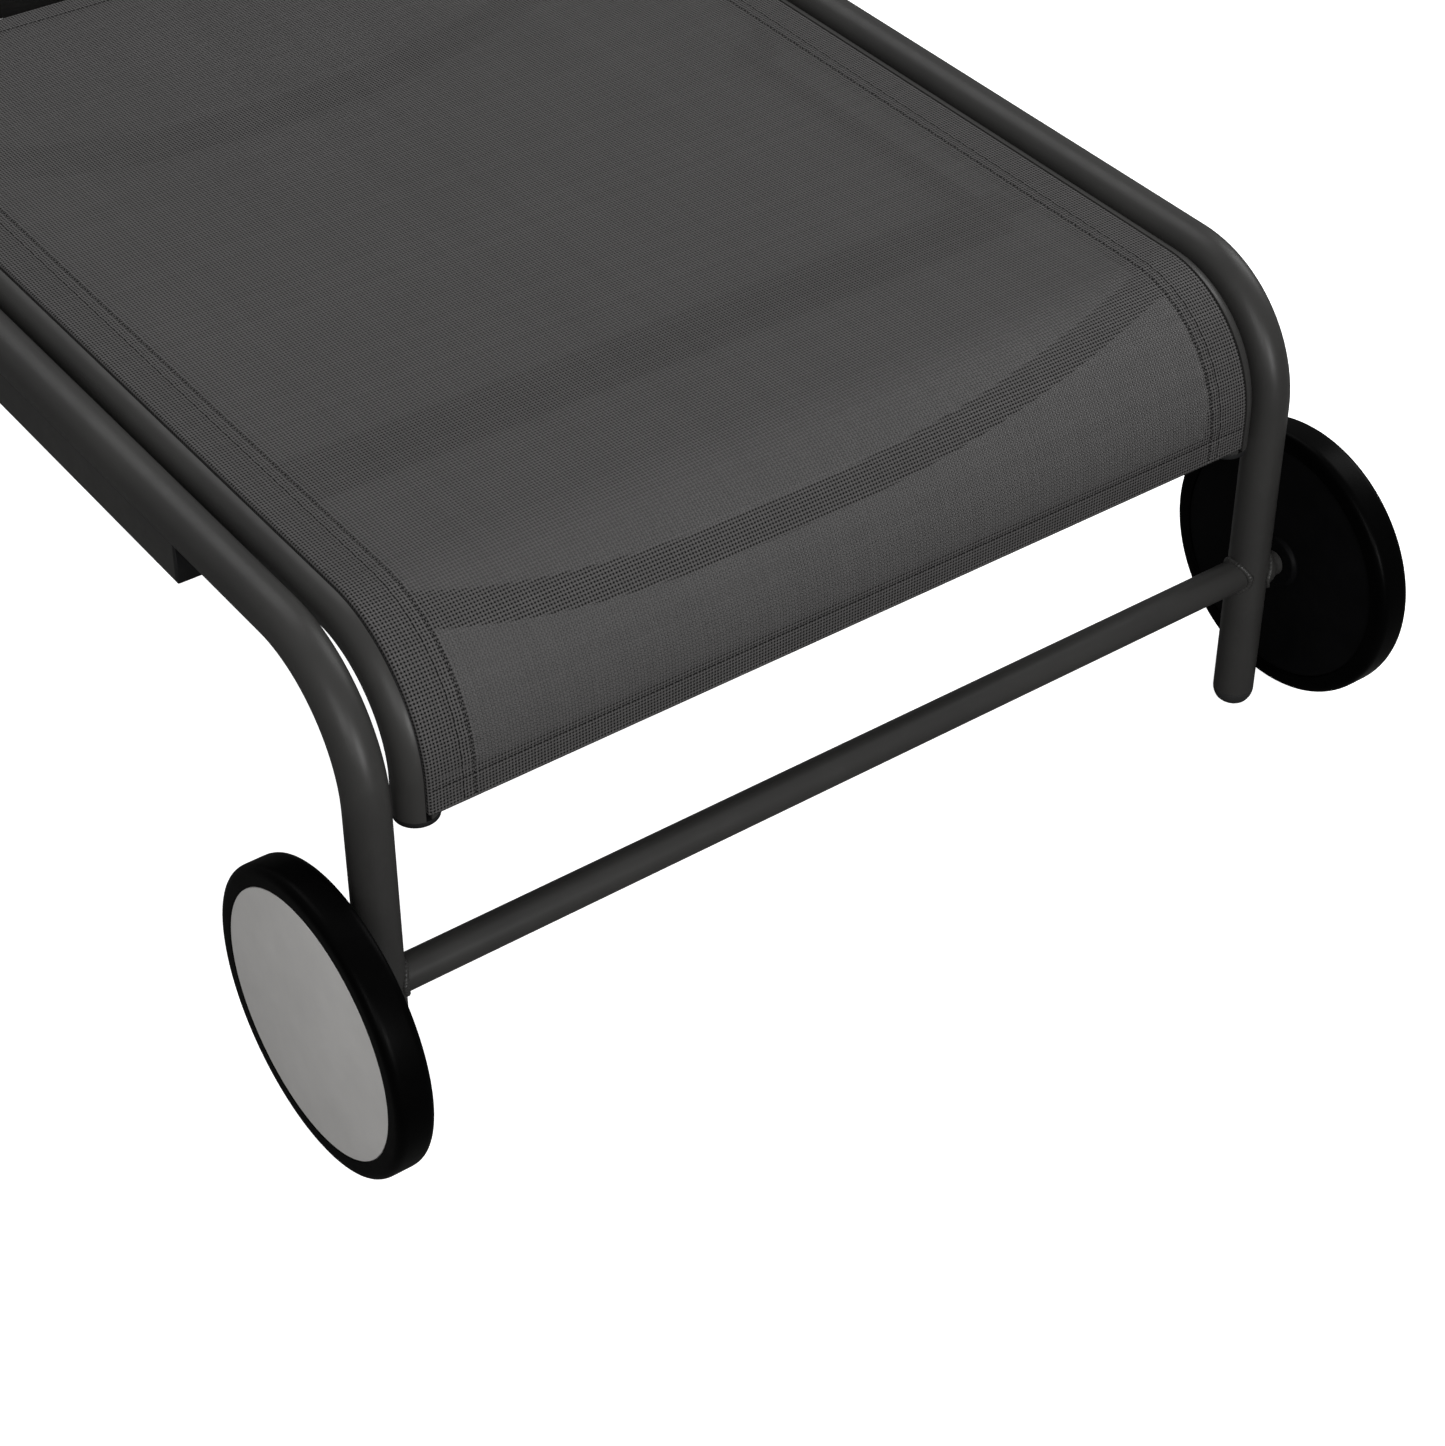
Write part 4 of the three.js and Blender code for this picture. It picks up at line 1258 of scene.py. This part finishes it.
def slingPiece(part, isHead, body):
    half, distance = edgeProfile()
    across = np.concatenate([-half[:0:-1, 0], half[:, 0]])
    drop = np.concatenate([half[:0:-1, 1], half[:, 1]])
    walk = np.concatenate([-distance[:0:-1], distance])
    points, heads, main, along = clothPath(isHead)
    start = int(np.argmax(main))
    length = along[len(main) - 1 - int(np.argmax(main[::-1]))] - along[start]
    s = np.clip(along - along[start], 0, length)
    height = clothHeight(across, s, length)
    inner = walk * (0.3100 / walk.max())
    x = np.where(main[:, None] > 0, across[None], inner[None])
    h = np.where(main[:, None] > 0, drop[None] + height, 0.0)
    loop = closedLoop(np.stack([x, h], -1), sling["thick"])
    grid = carried(points, heads, loop * (-1.0, 1.0))
    u = np.concatenate([walk, walk[::-1]])
    uv = np.stack(np.broadcast_arrays(u[None], along[:, None]), -1).astype(float)
    uv[main == 0] += sling["weaveShift"]
    cloth = meshPiece(f"{part}_sling_cloth", [grid], meshCloth, sharp=70, uv=uv)
    settle(cloth, body, "mesh", f"{part}_sling")
    pathS = along[main > 0] - along[start]
    pathP, pathT = points[main > 0], heads[main > 0]

    def at(values):
        place = np.column_stack([np.interp(values, pathS, pathP[:, k]) for k in range(3)])
        heading = np.column_stack([np.interp(values, pathS, pathT[:, k]) for k in range(3)])
        heading /= np.linalg.norm(heading, axis=1)[:, None]
        return place, heading, np.cross(heading, (-1.0, 0.0, 0.0))

    # the second layer of each side hem, and the cord in each rail's channel
    s = np.linspace(sling["hem"] + 0.0025, length - sling["hem"] - 0.0025, 190)
    place, heading, up = at(s)
    for name, side in sides.items():
        a = np.linspace(sling["slotX"] - sling["sideHem"], 0.3088, 9)
        h = clothHeight(a * side, s, length) - sling["thick"] - sling["underGap"]
        strip = closedLoop(np.stack(np.broadcast_arrays(a[None], h), -1), sling["thick"])
        grid = carried(place, heading, strip * (-side, 1.0))
        u = np.concatenate([a, a[::-1]]) * side + 0.0012
        uv = np.stack(np.broadcast_arrays(u[None], s[:, None] + 0.0008), -1).astype(float)
        hem = meshPiece(f"{part}_side_hem_{name}", [grid], meshCloth, sharp=70, uv=uv)
        settle(hem, body, "mesh")
        ends = np.linspace(0.001, length - 0.001, 120)
        centre, cordHeading, cordUp = at(ends)
        section = ring(sling["kederR"], 16,
                       (-side * sling["slotX"], rail["kederY"] - sling["lift"]))
        cord = meshPiece(f"{part}_keder_{name}", [carried(centre, cordHeading, section)],
                         kederPlastic)
        settle(cord, body, "mesh")
    # seams: rows of short stitches laid in the cloth
    rows = []
    for seam in sling["sideSeams"]:
        for side in (-1, 1):
            s = np.arange(0.003, length - 0.003, sling["stitch"])
            rows.append((s, np.full_like(s, side * (sling["slotX"] - seam)), True))
    for place in (sling["hemSeam"], length - sling["hemSeam"]):
        a = np.arange(-0.3095, 0.3095, sling["stitch"])
        rows.append((np.full_like(a, place), a, False))
    for i, (s, a, isLong) in enumerate(rows):
        place, heading, up = at(s)
        depth = (clothHeight(a[:1], s, length)[:, 0] if isLong
                 else clothHeight(a, s[:1], length)[0])
        centre = place + up * (depth + sling["thick"] / 2 + 0.00006)[:, None]
        centre[:, 0] = a
        side = np.repeat([[-1.0, 0.0, 0.0]], len(s), 0)
        stitches = stitchRow(f"{part}_seam_{i}", centre, heading if isLong else side,
                             side if isLong else heading, up)
        settle(stitches, body, "mesh")


def stitchRow(name, centres, alongs, asides, ups):
    # each stitch is a short six-sided thread, pulled in and down at both ends
    turn = np.linspace(0, 2 * np.pi, 6, endpoint=False)
    place = np.array([-0.5, -0.36, 0.0, 0.36, 0.5]) * sling["stitchLong"]
    size = np.array([0.35, 0.9, 1.0, 0.9, 0.35]) * sling["threadR"]
    sink = np.array([-0.9, -0.15, 0.1, -0.15, -0.9]) * sling["threadR"]
    verts = (centres[:, None, None] + place[None, :, None, None] * alongs[:, None, None]
             + (size[:, None] * np.cos(turn))[None, ..., None] * asides[:, None, None]
             + (size[:, None] * np.sin(turn) + sink[:, None])[None, ..., None]
             * ups[:, None, None])
    count = len(centres)
    quads = gridFaces(5, 6, False, True)
    faces = (quads[None] + 30 * np.arange(count)[:, None, None]).reshape(-1, 4).tolist()
    first = 30 * np.arange(count)[:, None] + np.arange(5, -1, -1)
    last = 30 * np.arange(count)[:, None] + 24 + np.arange(6)
    faces += first.tolist() + last.tolist()
    mesh = bpy.data.meshes.new(name)
    mesh.from_pydata(verts.reshape(-1, 3).tolist(), [], faces)
    bm = bmesh.new()
    bm.from_mesh(mesh)
    bmesh.ops.recalc_face_normals(bm, faces=bm.faces)
    bm.to_mesh(mesh)
    bm.free()
    mesh.shade_smooth()
    mesh.materials.append(thread)
    obj = bpy.data.objects.new(name, mesh)
    bpy.context.scene.collection.objects.link(obj)
    return obj


slingPiece("backrest", True, "backrest")
slingPiece("seat", False, "frame")
print("slings ready")


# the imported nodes, hidden or not, take the same finishes
for node, obj in frame["nodes"].items():
    slotName = next(part["material_slot"] for part in frame["record"]["subparts"]
                    if part["node"] == node)
    finish = {"coat": coat, "black_plastic": blackPlastic, "tyre": tyreRubber,
              "cover_grey": coverGrey, "steel": zincSteel, "mesh": meshCloth}[slotName]
    obj.data.materials.clear()
    obj.data.materials.append(finish)
